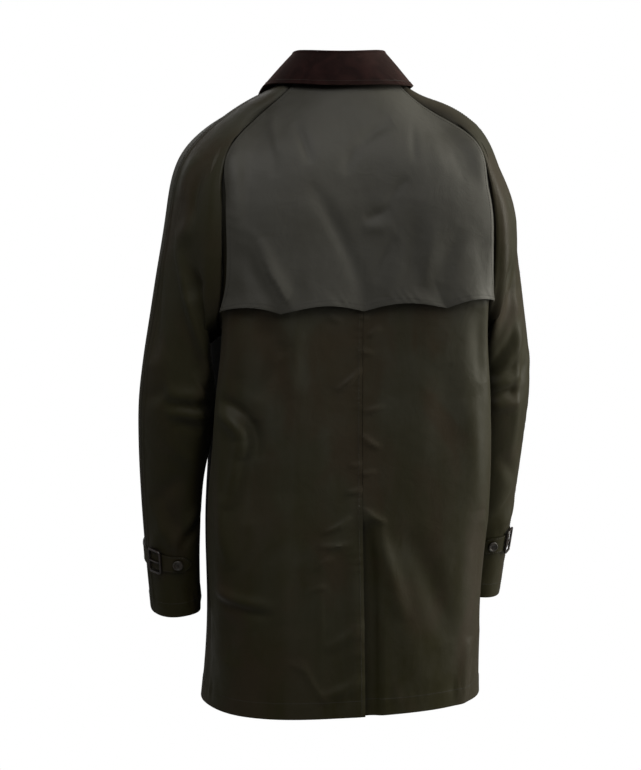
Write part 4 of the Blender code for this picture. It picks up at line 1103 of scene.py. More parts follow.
# The groove where the back of a sleeve turns in at its raglan seam: share of the seam's length
# from the neck, and depth.
LEFT_GROOVE: Table = {
    "share": (0.355, 0.385, 0.500, 0.820, 0.920, 1.000),
    "depth": (0.000, 0.014, 0.023, 0.023, 0.008, 0.000),
}
RIGHT_GROOVE: Table = {
    "share": (0.310, 0.340, 0.480, 0.600, 0.880, 1.000),
    "depth": (0.000, 0.012, 0.010, 0.006, 0.006, 0.000),
}
RIGHT_SLEEVE_FOLDS = fold_table(
    (RIDGE, 14, 1.4, 50, 4.0, -0.05, 0.0080, 0.0032),
    (RIDGE, 48, 3.6, 66, 8.2, -0.04, 0.0080, 0.0030),
    (TROUGH, 60, 0.6, 74, 2.4, 0.02, 0.0100, 0.0040),
    (RIDGE, 58, 2.8, 112, 3.9, 0.05, 0.0120, 0.0030),
    (TROUGH, 44, 3.6, 104, 4.7, 0.05, 0.0120, 0.0032),
    (LAP, 110, 5.7, 40, 5.1, -0.05, 0.0110, 0.0040),
    (TROUGH, 30, 5.8, 96, 6.6, 0.06, 0.0110, 0.0032),
    (RIDGE, -50, 5.8, -12, 6.3, 0.05, 0.0150, 0.0026),
    (LAP, -120, 5.5, -56, 6.2, 0.08, 0.0110, 0.0050),
    (LAP, -116, 6.4, -64, 7.0, -0.06, 0.0110, 0.0046),
    (TROUGH, 30, 8.7, 100, 9.4, 0.06, 0.0110, 0.0034),
    (RIDGE, 20, 9.1, 70, 9.6, 0.05, 0.0090, 0.0028),
    (RIDGE, -74, 1.0, -46, 3.0, 0.05, 0.0150, 0.0034),
    (TROUGH, -96, 1.4, -76, 3.6, 0.04, 0.0130, 0.0038),
    (TROUGH, -84, 3.6, -40, 4.6, 0.05, 0.0120, 0.0036),
    (TROUGH, -90, 8.0, -34, 8.7, 0.05, 0.0110, 0.0032),
)


# --- Finishes --------------------------------------------------------------------------

MIX_FIRST, MIX_SECOND, MIX_RESULT = 6, 7, 2  # where a mix node has its colours

class Wiring:
    """Places nodes in a tree and links them."""

    def __init__(self, tree: bpy.types.NodeTree) -> None:
        """Start on an empty tree."""
        self.tree = tree
        self.count = 0

    def node(self, kind: str, inputs: Inputs | None = None, **settings: object) -> bpy.types.Node:
        """Add a node.

        Args:
            kind: its type, such as ShaderNodeMath.
            inputs: for each input, a socket to link from or a value to set.
            settings: its own properties.

        Returns:
            The node.
        """
        made = self.tree.nodes.new(kind)
        made.location = (220 * (self.count % 8), -260 * (self.count // 8))
        self.count += 1
        for name, value in settings.items():
            setattr(made, name, value)
        self.fill(made, inputs or {})
        return made

    def fill(self, node: bpy.types.Node, inputs: Inputs) -> None:
        """Give a node its inputs: a link from a socket, or a value set on the node itself."""
        for name, value in inputs.items():
            if isinstance(value, bpy.types.NodeSocket):
                self.tree.links.new(value, node.inputs[name])
            else:
                node.inputs[name].default_value = value

    def math(self, operation: str, *values: object) -> bpy.types.NodeSocket:
        """Add one step of arithmetic and return its result."""
        made = self.node("ShaderNodeMath", dict(enumerate(values)), operation=operation)
        return made.outputs[0]

    def between(self, value: object, low: float, high: float, to_low: float = 0.0,
                to_high: float = 1.0) -> bpy.types.NodeSocket:
        """Carry a value from one range to another, smoothly and no further."""
        made = self.node("ShaderNodeMapRange", {"Value": value, "From Min": low, "From Max": high,
                                                "To Min": to_low, "To Max": to_high},
                         interpolation_type="SMOOTHSTEP")
        return made.outputs["Result"]

    def noise(self, place: object, scale: object, detail: float = 3.0, rough: float = 0.5,
              bend: float = 0.0) -> bpy.types.NodeSocket:
        """Add a noise and return its value."""
        made = self.node("ShaderNodeTexNoise", {"Vector": place, "Scale": scale, "Detail": detail,
                                                "Roughness": rough, "Distortion": bend})
        return made.outputs["Fac"]

    def blended(self, share: object, first: object, second: object) -> bpy.types.NodeSocket:
        """Mix two colours and return the result."""
        made = self.node("ShaderNodeMix", {0: share, MIX_FIRST: first, MIX_SECOND: second},
                         data_type="RGBA")
        return made.outputs[MIX_RESULT]


def effect(name: str, inputs: dict[str, tuple[str, object]],
           outputs: Sequence[str]) -> tuple[bpy.types.NodeTree, Wiring, Sockets, bpy.types.Node]:
    """Start a shader node group.

    Args:
        name: of the effect.
        inputs: for each input, its socket type and default.
        outputs: names of the values that it puts out.

    Returns:
        The group, its wiring, its inputs' sockets inside and its output node.
    """
    group = bpy.data.node_groups.new(name, "ShaderNodeTree")
    for label, (kind, default) in inputs.items():
        socket = group.interface.new_socket(name=label, in_out="INPUT", socket_type=kind)
        if default is not None:
            socket.default_value = default
    for label in outputs:
        group.interface.new_socket(name=label, in_out="OUTPUT", socket_type="NodeSocketFloat")
    wiring = Wiring(group)
    start = wiring.node("NodeGroupInput")
    end = wiring.node("NodeGroupOutput")
    sockets = {socket.name: socket for socket in start.outputs if socket.name}
    return group, wiring, sockets, end


class Effects:
    """The effects that more than one finish uses, each built once as a node group."""

    def __init__(self) -> None:
        """Build the groups."""
        self.weave = self.plain_weave()
        self.bloom = self.wax_bloom()

    def plain_weave(self) -> bpy.types.NodeTree:
        """Over and under of a plain weave, from a place on the cut cloth in metres."""
        group, wiring, sockets, end = effect(
            "plain weave", {"Cut": ("NodeSocketVector", None), "Yarn": ("NodeSocketFloat", 0.0004)},
            ["Height"])
        parts = wiring.node("ShaderNodeSeparateXYZ", {"Vector": sockets["Cut"]})
        waves = []
        for axis in ("X", "Y"):
            turns = wiring.math("DIVIDE", parts.outputs[axis], sockets["Yarn"])
            waves.append(wiring.math("SINE", wiring.math("MULTIPLY", turns, math.pi)))
        product = wiring.math("MULTIPLY", *waves)
        wiring.fill(end, {"Height": wiring.math("MULTIPLY_ADD", product, 0.5, 0.5)})
        return group

    def wax_bloom(self) -> bpy.types.NodeTree:
        """Uneven wax: broad clouds, streaks down the cloth and small crumpled facets."""
        group, wiring, sockets, end = effect(
            "wax bloom", {"Place": ("NodeSocketVector", None), "Size": ("NodeSocketFloat", 9.0)},
            ["Cloud", "Streak", "Stain", "Crumple"])
        place = sockets["Place"]
        cloud = wiring.noise(place, sockets["Size"], 4.0, 0.55, 0.6)
        long = wiring.node("ShaderNodeVectorMath", {0: place, 1: (1.0, 1.0, 0.16)}, operation="MULTIPLY")
        streak = wiring.noise(long.outputs[0], 38.0, 3.0, 0.6, 0.4)
        facets = wiring.node("ShaderNodeTexVoronoi", {"Vector": place, "Scale": 34.0, "Smoothness": 0.35,
                                                      "Detail": 1.0},
                             feature="SMOOTH_F1")
        crumple = wiring.math("MULTIPLY_ADD", facets.outputs["Distance"], 0.6,
                              wiring.noise(place, 26.0, 4.0, 0.6, 1.2))
        tall = wiring.node("ShaderNodeVectorMath", {0: place, 1: (1.0, 1.0, 0.55)}, operation="MULTIPLY")
        stain = wiring.noise(tall.outputs[0], 11.0, 3.0, 0.5, 0.8)
        wiring.fill(end, {"Cloud": wiring.between(cloud, 0.32, 0.70),
                          "Streak": wiring.between(streak, 0.35, 0.68),
                          "Stain": wiring.between(stain, 0.42, 0.66), "Crumple": crumple})
        return group


def new_material(name: str) -> tuple[bpy.types.Material, Wiring, bpy.types.Node]:
    """Start a material; returns it with its wiring and its shader."""
    material = bpy.data.materials.new(name)
    material.use_nodes = True
    tree = material.node_tree
    shader = tree.nodes["Principled BSDF"]
    return material, Wiring(tree), shader


@dataclass(frozen=True)
class WaxedCotton:
    """Waxed cotton: a dark plain weave under an uneven film of wax, with painted shade in its crevices and
    painted sheen toward its top.
    """

    name: str
    deep: Colour
    # worn: the paler colour of rubbed wax, which also carries the painted sheen toward the top
    worn: Colour
    bloom: float = 0.5               # how much of the worn colour shows
    arm_bloom_and_sheen: float = 1.0           # share of it, and of the painted sheen, that the arms have
    upper_painted_sheen: float = 0.0         # painted sheen of the lamp above: how much more shows toward the top of the coat, and on the shoulders, where the wax is also rubbed paler
    shoulder_wear_and_sheen: float = 0.0      # and on the shoulders
    smooth: float = 0.40             # roughness where the wax lies thick
    matt: float = 0.58               # and where it is rubbed off
    sheen: float = 0.12
    gloss: float = 0.40              # strength of the wax's reflection
    stain: Colour = (0.0250, 0.0182, 0.0098, 1.0)
    stained: float = 0.0             # how strongly it shows in patches
    # painted shade: the near-black colour that crevices and narrow gaps are darkened to
    crevice_painted_shade: Colour = (0.0022, 0.0019, 0.0010, 1.0)
    crevice: float = 0.040           # how narrow a place is for the painted shade to lie in it, in metres
    crumple: float = 0.0006          # height of the small crumples, in metres
    cloud_size: float = 9.0

    def material(self, effects: Effects) -> bpy.types.Material:
        """Build the material."""
        made, wiring, shader = new_material(self.name)
        places = wiring.node("ShaderNodeTexCoord")
        wax = wiring.node("ShaderNodeGroup", node_tree=effects.bloom)
        wiring.fill(wax, {"Size": self.cloud_size, "Place": places.outputs["Object"]})
        weave = wiring.node("ShaderNodeGroup", node_tree=effects.weave)
        wiring.fill(weave, {"Cut": places.outputs["UV"]})
        both = wiring.math("ADD", wiring.math("MULTIPLY", wax.outputs["Cloud"], 0.65),
                           wiring.math("MULTIPLY", wax.outputs["Streak"], 0.35))
        at = wiring.node("ShaderNodeSeparateXYZ", {"Vector": places.outputs["Object"]})
        arm = wiring.between(wiring.math("ABSOLUTE", at.outputs["X"]), 0.135, 0.205, 1.0, self.arm_bloom_and_sheen)
        share = wiring.math("MULTIPLY", wiring.math("MULTIPLY", both, self.bloom), arm)
        # painted sheen: paler toward the top of the coat, where the lamp above lights the wax, and on the
        # shoulders, where the wax is also rubbed
        upper = wiring.between(at.outputs["Z"], -0.86, -0.26, 0.0, self.upper_painted_sheen)
        shoulder = wiring.between(at.outputs["Z"], -0.22, -0.05, 0.0, self.shoulder_wear_and_sheen)
        share = wiring.math("ADD", share, wiring.math("MULTIPLY", upper, arm))
        share = wiring.math("ADD", share, shoulder)
        even = wiring.blended(share, self.deep, self.worn)
        clean = wiring.blended(wiring.math("MULTIPLY", wax.outputs["Stain"], self.stained), even, self.stain)
        # painted shade: ambient occlusion darkens the colour toward a near-black in crevices and narrow gaps
        open_sky = wiring.node("ShaderNodeAmbientOcclusion", {"Distance": self.crevice}, samples=6)
        colour = wiring.blended(wiring.between(open_sky.outputs["AO"], 0.28, 0.84), self.crevice_painted_shade, clean)
        rough = wiring.between(both, 0.15, 0.85, self.smooth, self.matt)
        fine = wiring.node("ShaderNodeBump", {"Height": weave.outputs["Height"], "Strength": 0.35,
                                              "Distance": 0.00008})
        creased = wiring.node("ShaderNodeBump", {"Height": wax.outputs["Crumple"], "Strength": 1.0,
                                                 "Distance": self.crumple, "Normal": fine.outputs["Normal"]})
        wiring.fill(shader, {"Base Color": colour, "Roughness": rough, "Normal": creased.outputs["Normal"],
                             "Sheen Weight": self.sheen, "Sheen Roughness": 0.45,
                             "Sheen Tint": (0.75, 0.72, 0.60, 1.0), "Specular IOR Level": self.gloss})
        return made


@dataclass(frozen=True)
class Corduroy:
    """Fine corduroy: ribs with a soft nap, their crests painted lighter and the hollows between them painted
    in shade.
    """

    name: str = "corduroy"
    # painted shade in the hollows between the ribs, and the painted lighter colour of their crests
    deep: Colour = (0.0050, 0.0018, 0.0017, 1.0)
    crest: Colour = (0.0210, 0.0080, 0.0070, 1.0)
    rib: float = 0.0021

    def material(self, effects: Effects) -> bpy.types.Material:
        """Build the material."""
        made, wiring, shader = new_material(self.name)
        places = wiring.node("ShaderNodeTexCoord")
        parts = wiring.node("ShaderNodeSeparateXYZ", {"Vector": places.outputs["UV"]})
        wander = wiring.noise(places.outputs["Object"], 60.0, 2.0)
        turns = wiring.math("MULTIPLY", wiring.math("DIVIDE", parts.outputs["X"], self.rib), math.pi)
        turns = wiring.math("ADD", turns, wiring.math("MULTIPLY", wander, 1.2))
        rib = wiring.math("ABSOLUTE", wiring.math("SINE", turns))
        nap = wiring.noise(places.outputs["Object"], 900.0, 2.0, 0.7)
        brushed = wiring.noise(places.outputs["Object"], 34.0, 4.0, 0.6, 0.9)
        # painted light and shade: lighter on the ribs' crests and darker in their hollows, varied in brushed
        # patches
        light = wiring.math("MULTIPLY", wiring.between(rib, 0.2, 1.0),
                            wiring.between(brushed, 0.36, 0.66, 0.25, 1.1))
        colour = wiring.blended(light, self.deep, self.crest)
        height = wiring.math("ADD", wiring.math("MULTIPLY", rib, 0.7), wiring.math("MULTIPLY", nap, 0.3))
        bump = wiring.node("ShaderNodeBump", {"Height": height, "Strength": 0.6, "Distance": 0.0005})
        wiring.fill(shader, {"Base Color": colour, "Roughness": 0.88, "Normal": bump.outputs["Normal"],
                             "Sheen Weight": 0.22, "Sheen Roughness": 0.35,
                             "Sheen Tint": (0.55, 0.36, 0.30, 1.0), "Specular IOR Level": 0.08})
        return made


@dataclass(frozen=True)
class Horn:
    """Imitation horn of the buttons and buckles: dark, streaked and polished."""

    name: str
    dark: Colour
    light: Colour
    roughness: float = 0.28

    def material(self, effects: Effects) -> bpy.types.Material:
        """Build the material."""
        made, wiring, shader = new_material(self.name)
        places = wiring.node("ShaderNodeTexCoord")
        drawn = wiring.node("ShaderNodeVectorMath", {0: places.outputs["Object"], 1: (1.0, 1.0, 3.5)},
                            operation="MULTIPLY")
        streak = wiring.noise(drawn.outputs[0], 130.0, 3.0, 0.6, 1.5)
        colour = wiring.blended(wiring.between(streak, 0.40, 0.72), self.dark, self.light)
        scuff = wiring.noise(places.outputs["Object"], 700.0, 2.0, 0.6)
        rough = wiring.between(scuff, 0.3, 0.8, self.roughness, self.roughness + 0.16)
        wiring.fill(shader, {"Base Color": colour, "Roughness": rough, "Specular IOR Level": 0.6})
        return made


@dataclass(frozen=True)
class Thread:
    """Waxed sewing thread."""

    name: str = "thread"
    colour: Colour = (0.020, 0.017, 0.010, 1.0)
    dull: Colour = (0.010, 0.009, 0.005, 1.0)

    def material(self, effects: Effects) -> bpy.types.Material:
        """Build the material."""
        made, wiring, shader = new_material(self.name)
        places = wiring.node("ShaderNodeTexCoord")
        soiled = wiring.noise(places.outputs["Object"], 24.0, 3.0, 0.6)
        colour = wiring.blended(wiring.between(soiled, 0.35, 0.65), self.dull, self.colour)
        wiring.fill(shader, {"Base Color": colour, "Roughness": 0.6})
        return made


# --- The coat's parts ------------------------------------------------------------------

def linked(name: str, points: np.ndarray, faces: list[tuple[int, ...]]) -> bpy.types.Object:
    """Make an object from points and faces, shaded smooth."""
    mesh = bpy.data.meshes.new(name)
    mesh.from_pydata([tuple(point) for point in points], [], faces)
    shaded(mesh)
    return stood(name, mesh)


def placed(item: bpy.types.Object, material: bpy.types.Material,
           nodes: Sequence[str] = ()) -> bpy.types.Object:
    """Dress a piece, and let it ride on the coat in the place of its nodes.

    Args:
        item: the piece.
        material: its finish.
        nodes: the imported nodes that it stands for.

    Returns:
        The piece.
    """
    item.data.materials.clear()
    item.data.materials.append(material)
    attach(item, ROOT)
    if nodes:
        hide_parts(*nodes)
    LOG.info("made %s", item.name)
    return item


def in_stance(points: np.ndarray) -> np.ndarray:
    """Put points in the wearer's stance: the left side a little lower, the right shoulder in."""
    points = points.copy()
    outer = ease((-points[..., 0] - SHOULDER_FROM) / (SHOULDER_TO - SHOULDER_FROM))
    level = np.exp(-((points[..., 2] - SHOULDER_HEIGHT) / SHOULDER_SPREAD) ** 2)
    points[..., 0] += SHOULDER_IN * outer * level
    inner = 1 - ease((points[..., 0] - FLANK_FULL) / (FLANK_NONE - FLANK_FULL))
    inner *= ease(points[..., 0] / FLANK_FULL)
    points[..., 0] += FLANK_OUT * inner * np.exp(-((points[..., 2] - FLANK_HEIGHT) / FLANK_SPREAD) ** 2)
    beside = np.exp(-((points[..., 0] + NECK_DROP_PLACE) / NECK_DROP_SPREAD) ** 2)
    above = ease((points[..., 2] - NECK_DROP_NONE) / (NECK_DROP_FULL - NECK_DROP_NONE))
    points[..., 2] -= NECK_DROP * beside * above
    points[..., 2] -= STANCE_DROP * points[..., 0]
    return points


@dataclass(frozen=True)
class Stitching:
    """Rows of stitches, each stitch a small rounded bead of thread."""

    length: float = 0.0025
    pitch: float = 0.0034
    radius: float = 0.00028
    sides: int = 5
    sink: float = 0.00008            # how far a stitch is pulled into the cloth

    def beads(self, line: np.ndarray, outward: np.ndarray) -> tuple[np.ndarray, np.ndarray]:
        """Points and faces of the stitches along one row.

        Args:
            line: points along the row, on the surface of the cloth.
            outward: the outward normal at each.

        Returns:
            The points, and the faces as rows of three or four numbers (a triangle repeats none
            and ends in -1).
        """
        along = run(line)
        count = int((along[-1] - self.length) / self.pitch)
        if count < 1:
            return np.zeros((0, 3)), np.zeros((0, 4), int)
        middles = (np.arange(count) + 0.5) * self.pitch + (along[-1] - count * self.pitch) / 2
        tail = read_along(line, along, middles - self.length / 2)
        head = read_along(line, along, middles + self.length / 2)
        up = unit(read_along(outward, along, middles))
        aside = np.cross(unit(head - tail), up)
        lift = (self.radius - self.sink) * up
        rings = []
        for share in (0.22, 0.78):
            centre = tail + (head - tail) * share + lift
            for side in range(self.sides):
                angle = 2 * math.pi * side / self.sides
                rings.append(centre + self.radius * (math.cos(angle) * up + math.sin(angle) * aside))
        points = np.stack([tail - 0.5 * lift, *rings, head - 0.5 * lift], axis=1)
        n = self.sides
        faces = []
        for side in range(n):
            after = (side + 1) % n
            faces.append((0, 1 + after, 1 + side, -1))
            faces.append((1 + side, 1 + after, 1 + n + after, 1 + n + side))
            faces.append((1 + n + side, 1 + n + after, 2 * n + 1, -1))
        block = np.array(faces)
        offsets = (np.arange(count) * (2 * n + 2))[:, None, None]
        whole = np.where(block[None] >= 0, block[None] + offsets, -1)
        return points.reshape(-1, 3), whole.reshape(-1, 4)

    def make(self, name: str, lines: Sequence[Row], material: bpy.types.Material) -> None:
        """Join the stitches of several rows into one piece."""
        points, faces, start = [], [], 0
        for line, outward in lines:
            spots, beads = self.beads(line, outward)
            points.append(spots)
            faces += [tuple(int(k) + start for k in bead if k >= 0) for bead in beads]
            start += len(spots)
        if start:
            placed(linked(name, np.concatenate(points), faces), material)


PANEL_SEAM = SeamFinish(Edge.LAST, band=0.007, rise=0.0005, rows=(0.0065,), pucker=0.0003, pitch=0.016)
BODY_HEM = SeamFinish(Edge.BOTTOM, band=0.024, rise=0.0006, rows=(0.023,), pucker=0.0007, pitch=0.030,
                      reach=0.012)


@dataclass
class Coat:
    """The coat's cloth, as cut pieces on one form, with the folds that run over its seams."""

    body: BodyForm
    finishes: dict[str, bpy.types.Material]
    stitching: Stitching = field(default_factory=Stitching)
    lap_step: float = 0.003
    vent_underlap: float = 0.045
    front_overlap: float = 0.028
    under_layer: float = 0.0020
    vent_depth: float = 0.0095       # how far the right back falls in at the vent
    back_columns: int = 76
    front_columns: int = 72
    groove_place: float = 0.0066     # deepest line of a sleeve's groove, from the seam
    groove_width: float = 0.0047

    def sheet(self, piece: CutPiece, finish: str) -> CutPiece:
        """Make a cut piece as a shell with its stitches.

        Args:
            piece: the piece, with its folds.
            finish: name of its finish.

        Returns:
            The piece.
        """
        piece.sewn()
        piece.points = in_stance(piece.points)
        shell = placed(piece.shell(), self.finishes[finish], [piece.name])
        lines = piece.stitch_lines()
        if lines:
            self.stitching.make(piece.name + "_stitches", lines, self.finishes["thread"])
        return piece

    def hold_at(self, piece: CutPiece, edges: Sequence[Edge], rows: int | None = None,
                width: float = 0.016) -> np.ndarray:
        """Share of a fold's height at each point, 0 at the given edges.

        Args:
            piece: the piece.
            edges: the edges where the folds die away.
            rows: only above this row, where given.
            width: how near to the edge they do.

        Returns:
            A share for each point.
        """
        share = np.ones(piece.points.shape[:2])
        for edge in edges:
            fade = ease(piece.from_edge(edge) / width)
            if rows is not None:
                fade[rows:] = np.maximum(fade[rows:], ease(np.arange(len(fade) - rows) / 14)[:, None])
            share *= fade
        return share

    def folds(self, rows: Sequence[FoldLine]) -> list[tuple[np.ndarray, FoldLine]]:
        """Folds of the body with their points in space."""
        return [(self.body.line(fold), fold) for fold in rows]

    def backs(self) -> np.ndarray:
        """Make both backs, lapped at the vent, and return the left one's grid before its folds."""
        columns = np.linspace(0, 1, self.back_columns + 1)
        lap = np.arange(self.vent_underlap, 0, -self.lap_step)
        left = self.body.panel(RAGLAN_BACK, 0, NECK_BACK, columns, np.array([]))
        right = self.body.panel(RAGLAN_BACK, 0, NECK_BACK, columns, lap)
        vent_row = self.body.armhole_steps + self.body.waist_steps
        rows = np.arange(len(right))
        below = ease((rows - vent_row + 8) / 8)
        past = np.concatenate((-lap, np.linspace(0, 0.24, self.back_columns + 1)))
        inward = 1 - ease((past - 0.004) / 0.018)
        depth = self.vent_depth * below[:, None] * inward[None, :]
        right = right - depth[..., None] * grid_normals(right, False)
        keep = np.ones((len(right) - 1, right.shape[1] - 1), bool)
        keep[:vent_row, :len(lap)] = False
        centre = SeamFinish(Edge.FIRST, band=0.006, rise=0.0005, rows=(0.0055,), pucker=0.0006,
                            pitch=0.018, reach=0.012)
        folds = self.folds(BACK_FOLDS + CAPE_FOLDS + FRONT_FOLDS)
        for name, grid, flip, finishes in (
                ("back_left", left, False, (centre, PANEL_SEAM, BODY_HEM)),
                ("back_right", mirrored(right), True, (PANEL_SEAM, BODY_HEM))):
            piece = CutPiece(name, grid, flip, keep=keep if name == "back_right" else None, finishes=finishes)
            hold = self.hold_at(piece, [Edge.LAST], self.body.armhole_steps)
            piece.points = folded(piece.points, flip, folds, hold)
            self.sheet(piece, "cotton")
        return left

    def fronts(self) -> np.ndarray:
        """Make both fronts, the left one over the right, and return the left one's grid."""
        columns = np.linspace(0, 1, self.front_columns + 1)
        lap = np.arange(self.front_overlap, 0, -self.lap_step)
        front = self.body.panel(RAGLAN_FRONT, len(PLACES) - 1, NECK_FRONT, columns, lap)
        past = np.concatenate((-lap, np.linspace(0, 0.23, self.front_columns + 1)))
        inward = 1 - ease((past - 0.012) / 0.040)
        under = front - self.under_layer * inward[None, :, None] * grid_normals(front, True)
        edge = SeamFinish(Edge.FIRST, band=0.008, rise=0.0005, rows=(0.0075,), pucker=0.0004, pitch=0.022)
        folds = self.folds(BACK_FOLDS + FRONT_FOLDS)
        for name, grid, flip in (("front_left", front, True), ("front_right", mirrored(under), False)):
            piece = CutPiece(name, grid, flip, finishes=(edge, PANEL_SEAM, BODY_HEM))
            hold = self.hold_at(piece, [Edge.LAST], self.body.armhole_steps)
            piece.points = folded(piece.points, flip, folds, hold)
            self.sheet(piece, "cotton")
        return front

    def sleeves(self) -> CuffForm:
        """Make the four sleeve halves, and return the places near the left cuff."""
        form = SleeveForm(self.body)
        halves = {"back": form.half(RAGLAN_BACK, 1), "front": form.half(RAGLAN_FRONT, -1)}
        over = SeamFinish(Edge.FIRST, band=0.008, rise=0.0011, rows=(0.0022, 0.0080), pucker=0.0003,
                          pitch=0.014)
        under = SeamFinish(Edge.LAST, pucker=0.0002, pitch=0.015)
        cap = SeamFinish(Edge.TOP, rows=(0.0070,))
        cuff = SeamFinish(Edge.BOTTOM, band=0.022, rise=0.0006, rows=(0.021,), pucker=0.0004,
                          pitch=0.024)
        for side, table in ((Side.LEFT, LEFT_SLEEVE_FOLDS), (Side.RIGHT, RIGHT_SLEEVE_FOLDS)):
            lines = [(on_side(form.line(fold), side), fold) for fold in table]
            for half, grid in halves.items():
                flip = (half == "back") == (side is Side.LEFT)
                points = on_side(grid, side)
                name = f"sleeve_{half}_{side.name.lower()}"
                piece = CutPiece(name, points, flip, finishes=(over, under, cap, cuff))
                piece.points = folded(points, flip, lines, self.hold_at(piece, [Edge.TOP]))
                if half == "back":
                    self.turn_in(piece, LEFT_GROOVE if side is Side.LEFT else RIGHT_GROOVE)
                self.sheet(piece, "cotton")
        whole = np.concatenate((halves["front"][:, :0:-1], halves["back"]), axis=1)
        return CuffForm(whole, grid_normals(whole, True), halves["front"].shape[1] - 1)

    def turn_in(self, piece: CutPiece, groove: Table) -> None:
        """Sink a sleeve beside its raglan seam, as deep as its groove is at each place."""
        along = piece.across[0] / piece.across[0, -1]
        depth = np.interp(along, groove["share"], groove["depth"])
        across = np.exp(-((piece.down - self.groove_place) / self.groove_width) ** 2)
        sunk = depth[None, :] * across * ease(piece.down / 0.003)
        piece.points = piece.points - sunk[..., None] * grid_normals(piece.points, piece.flip)

    def collar(self) -> None:
        """Make the collar's stand and fall."""
        stand, fall = CollarForm(self.body).grids()
        ends = [SeamFinish(edge, band=0.006, rise=0.0004, rows=(0.006,), pucker=0.0003)
                for edge in (Edge.FIRST, Edge.LAST)]
        edge = SeamFinish(Edge.BOTTOM, band=0.006, rise=0.0004, rows=(0.006,), pucker=0.0005, pitch=0.024)
        self.sheet(CutPiece("collar_stand", stand, False, 0.0024), "corduroy")
        piece = CutPiece("collar_fall", fall, False, 0.0024, finishes=(edge, *ends))
        self.sheet(piece, "corduroy")

    def cape(self, back: np.ndarray) -> None:
        """Make the storm cape over both backs."""
        form = CapeForm(back_steps=self.body.armhole_steps // 10)
        grid = form.grid(back)
        hem = SeamFinish(Edge.BOTTOM, band=0.008, rise=0.0005, rows=(0.0022, 0.0078), pucker=0.0007,
                         pitch=0.020, reach=0.010)
        sides = [SeamFinish(edge, band=0.006, rise=0.0004, rows=(0.0055,), pucker=0.0004, pitch=0.018)
                 for edge in (Edge.FIRST, Edge.LAST)]
        piece = CutPiece("storm_cape", grid, False, finishes=(hem, *sides))
        hold = self.hold_at(piece, [Edge.FIRST, Edge.LAST], width=0.004)
        piece.points = folded(grid, False, self.folds(CAPE_FOLDS), hold)
        self.sheet(piece, "cape")


@dataclass(frozen=True)
class CuffStrap:
    """A cuff strap with its buckle and button, on either sleeve."""

    cuff: CuffForm
    start: float = -0.118            # way round from the seam over the arm, backward
    tip: float = 0.079
    point: float = 0.012             # length of the pointed tip
    width: float = 0.026
    cloth: float = 0.0020
    sleeve_cloth: float = 0.0012
    layer_gap: float = 0.0004
    buckle_place: float = 0.024
    buckle_length: float = 0.022
    buckle_height: float = 0.033
    buckle_corner: float = 0.004
    buckle_wire: float = 0.0017
    buckle_gap: float = 0.0003       # between the buckle and what it lies on
    prong_wire: float = 0.0012
    button_place: float = 0.059

    def grid(self) -> np.ndarray:
        """Grid of the left strap, across by along."""
        lift = (self.sleeve_cloth + self.cloth) / 2 + self.layer_gap
        rows = []
        for side in np.linspace(1, -1, 15):
            end = self.tip - self.point * abs(side) ** 1.4
            along = self.start + (end - self.start) * np.linspace(0, 1, 90)
            rows.append(self.cuff.spots(along, np.full(90, side * self.width / 2), lift)[0])
        return np.array(rows)

    def buckle_outline(self, grow: float) -> list[tuple[float, float]]:
        """Outline of the frame's wire, round at the corners: (along, across) pairs."""
        outline = []
        for quarter in range(4):
            middle = math.pi / 4 + quarter * math.pi / 2
            corner = (math.copysign(self.buckle_length / 2 - self.buckle_corner, math.cos(middle)),
                      math.copysign(self.buckle_height / 2 - self.buckle_corner, math.sin(middle)))
            for step in range(7):
                angle = quarter * math.pi / 2 + step * math.pi / 12
                outline.append((corner[0] + (self.buckle_corner + grow) * math.cos(angle),
                                corner[1] + (self.buckle_corner + grow) * math.sin(angle)))
        return outline

    def wire(self, name: str, points: np.ndarray, radius: float, closed: bool) -> bpy.types.Object:
        """A wire through points, as a mesh tube with a round section.

        Args:
            name: of the piece.
            points: along its middle.
            radius: of the section.
            closed: whether its end meets its start.

        Returns:
            The piece.
        """
        curve = bpy.data.curves.new(name, "CURVE")
        curve.dimensions = "3D"
        curve.bevel_depth = radius
        curve.bevel_resolution = 4
        curve.use_fill_caps = not closed
        spline = curve.splines.new("POLY")
        spline.points.add(len(points) - 1)
        for number, point in enumerate(points):
            spline.points[number].co = (*point, 1.0)
        spline.use_cyclic_u = closed
        item = stood(name, curve)
        mesh = applied(item)
        bpy.data.objects.remove(item)
        mesh.name = name
        mesh.shade_smooth()
        return stood(name, mesh)

    def make(self, coat: Coat, side: Side) -> None:
        """Make the strap and its buckle, with its prong, on one sleeve."""
        name = side.name.lower()
        piece = CutPiece("cuff_strap_" + name, on_side(self.grid(), side), side is Side.LEFT, self.cloth,
                         finishes=[SeamFinish(edge, rows=(0.0028,))
                                   for edge in (Edge.TOP, Edge.BOTTOM, Edge.LAST)])
        coat.sheet(piece, "cotton")
        lift = self.sleeve_cloth / 2 + self.layer_gap + self.cloth + self.buckle_gap + self.buckle_wire
        outline = np.array(self.buckle_outline(0.0))
        frame, _ = self.cuff.spots(self.buckle_place + outline[:, 0], outline[:, 1], lift)
        ring = self.wire(f"buckle_frame_{name}", in_stance(on_side(frame, side)), self.buckle_wire, True)
        placed(ring, coat.finishes["buckle"], [f"buckle_{name}"])
        reach = self.buckle_length / 2 - self.buckle_wire - self.buckle_gap
        along = self.buckle_place + np.linspace(-reach, reach, 9)
        prong, _ = self.cuff.spots(along, np.zeros(9), lift)
        bar = self.wire(f"prong_{name}", in_stance(on_side(prong, side)), self.prong_wire, False)
        placed(bar, coat.finishes["buckle"], [f"buckle_prong_{name}"])


# Rings of a button from its back to its dished middle, as shares of its radius and height.
BUTTON_PROFILE = ((0.70, 0.0), (0.86, 0.08), (0.97, 0.28), (1.0, 0.52), (0.97, 0.80), (0.90, 0.96),
                  (0.82, 1.0), (0.74, 0.97), (0.66, 0.82), (0.58, 0.70), (0.48, 0.65))


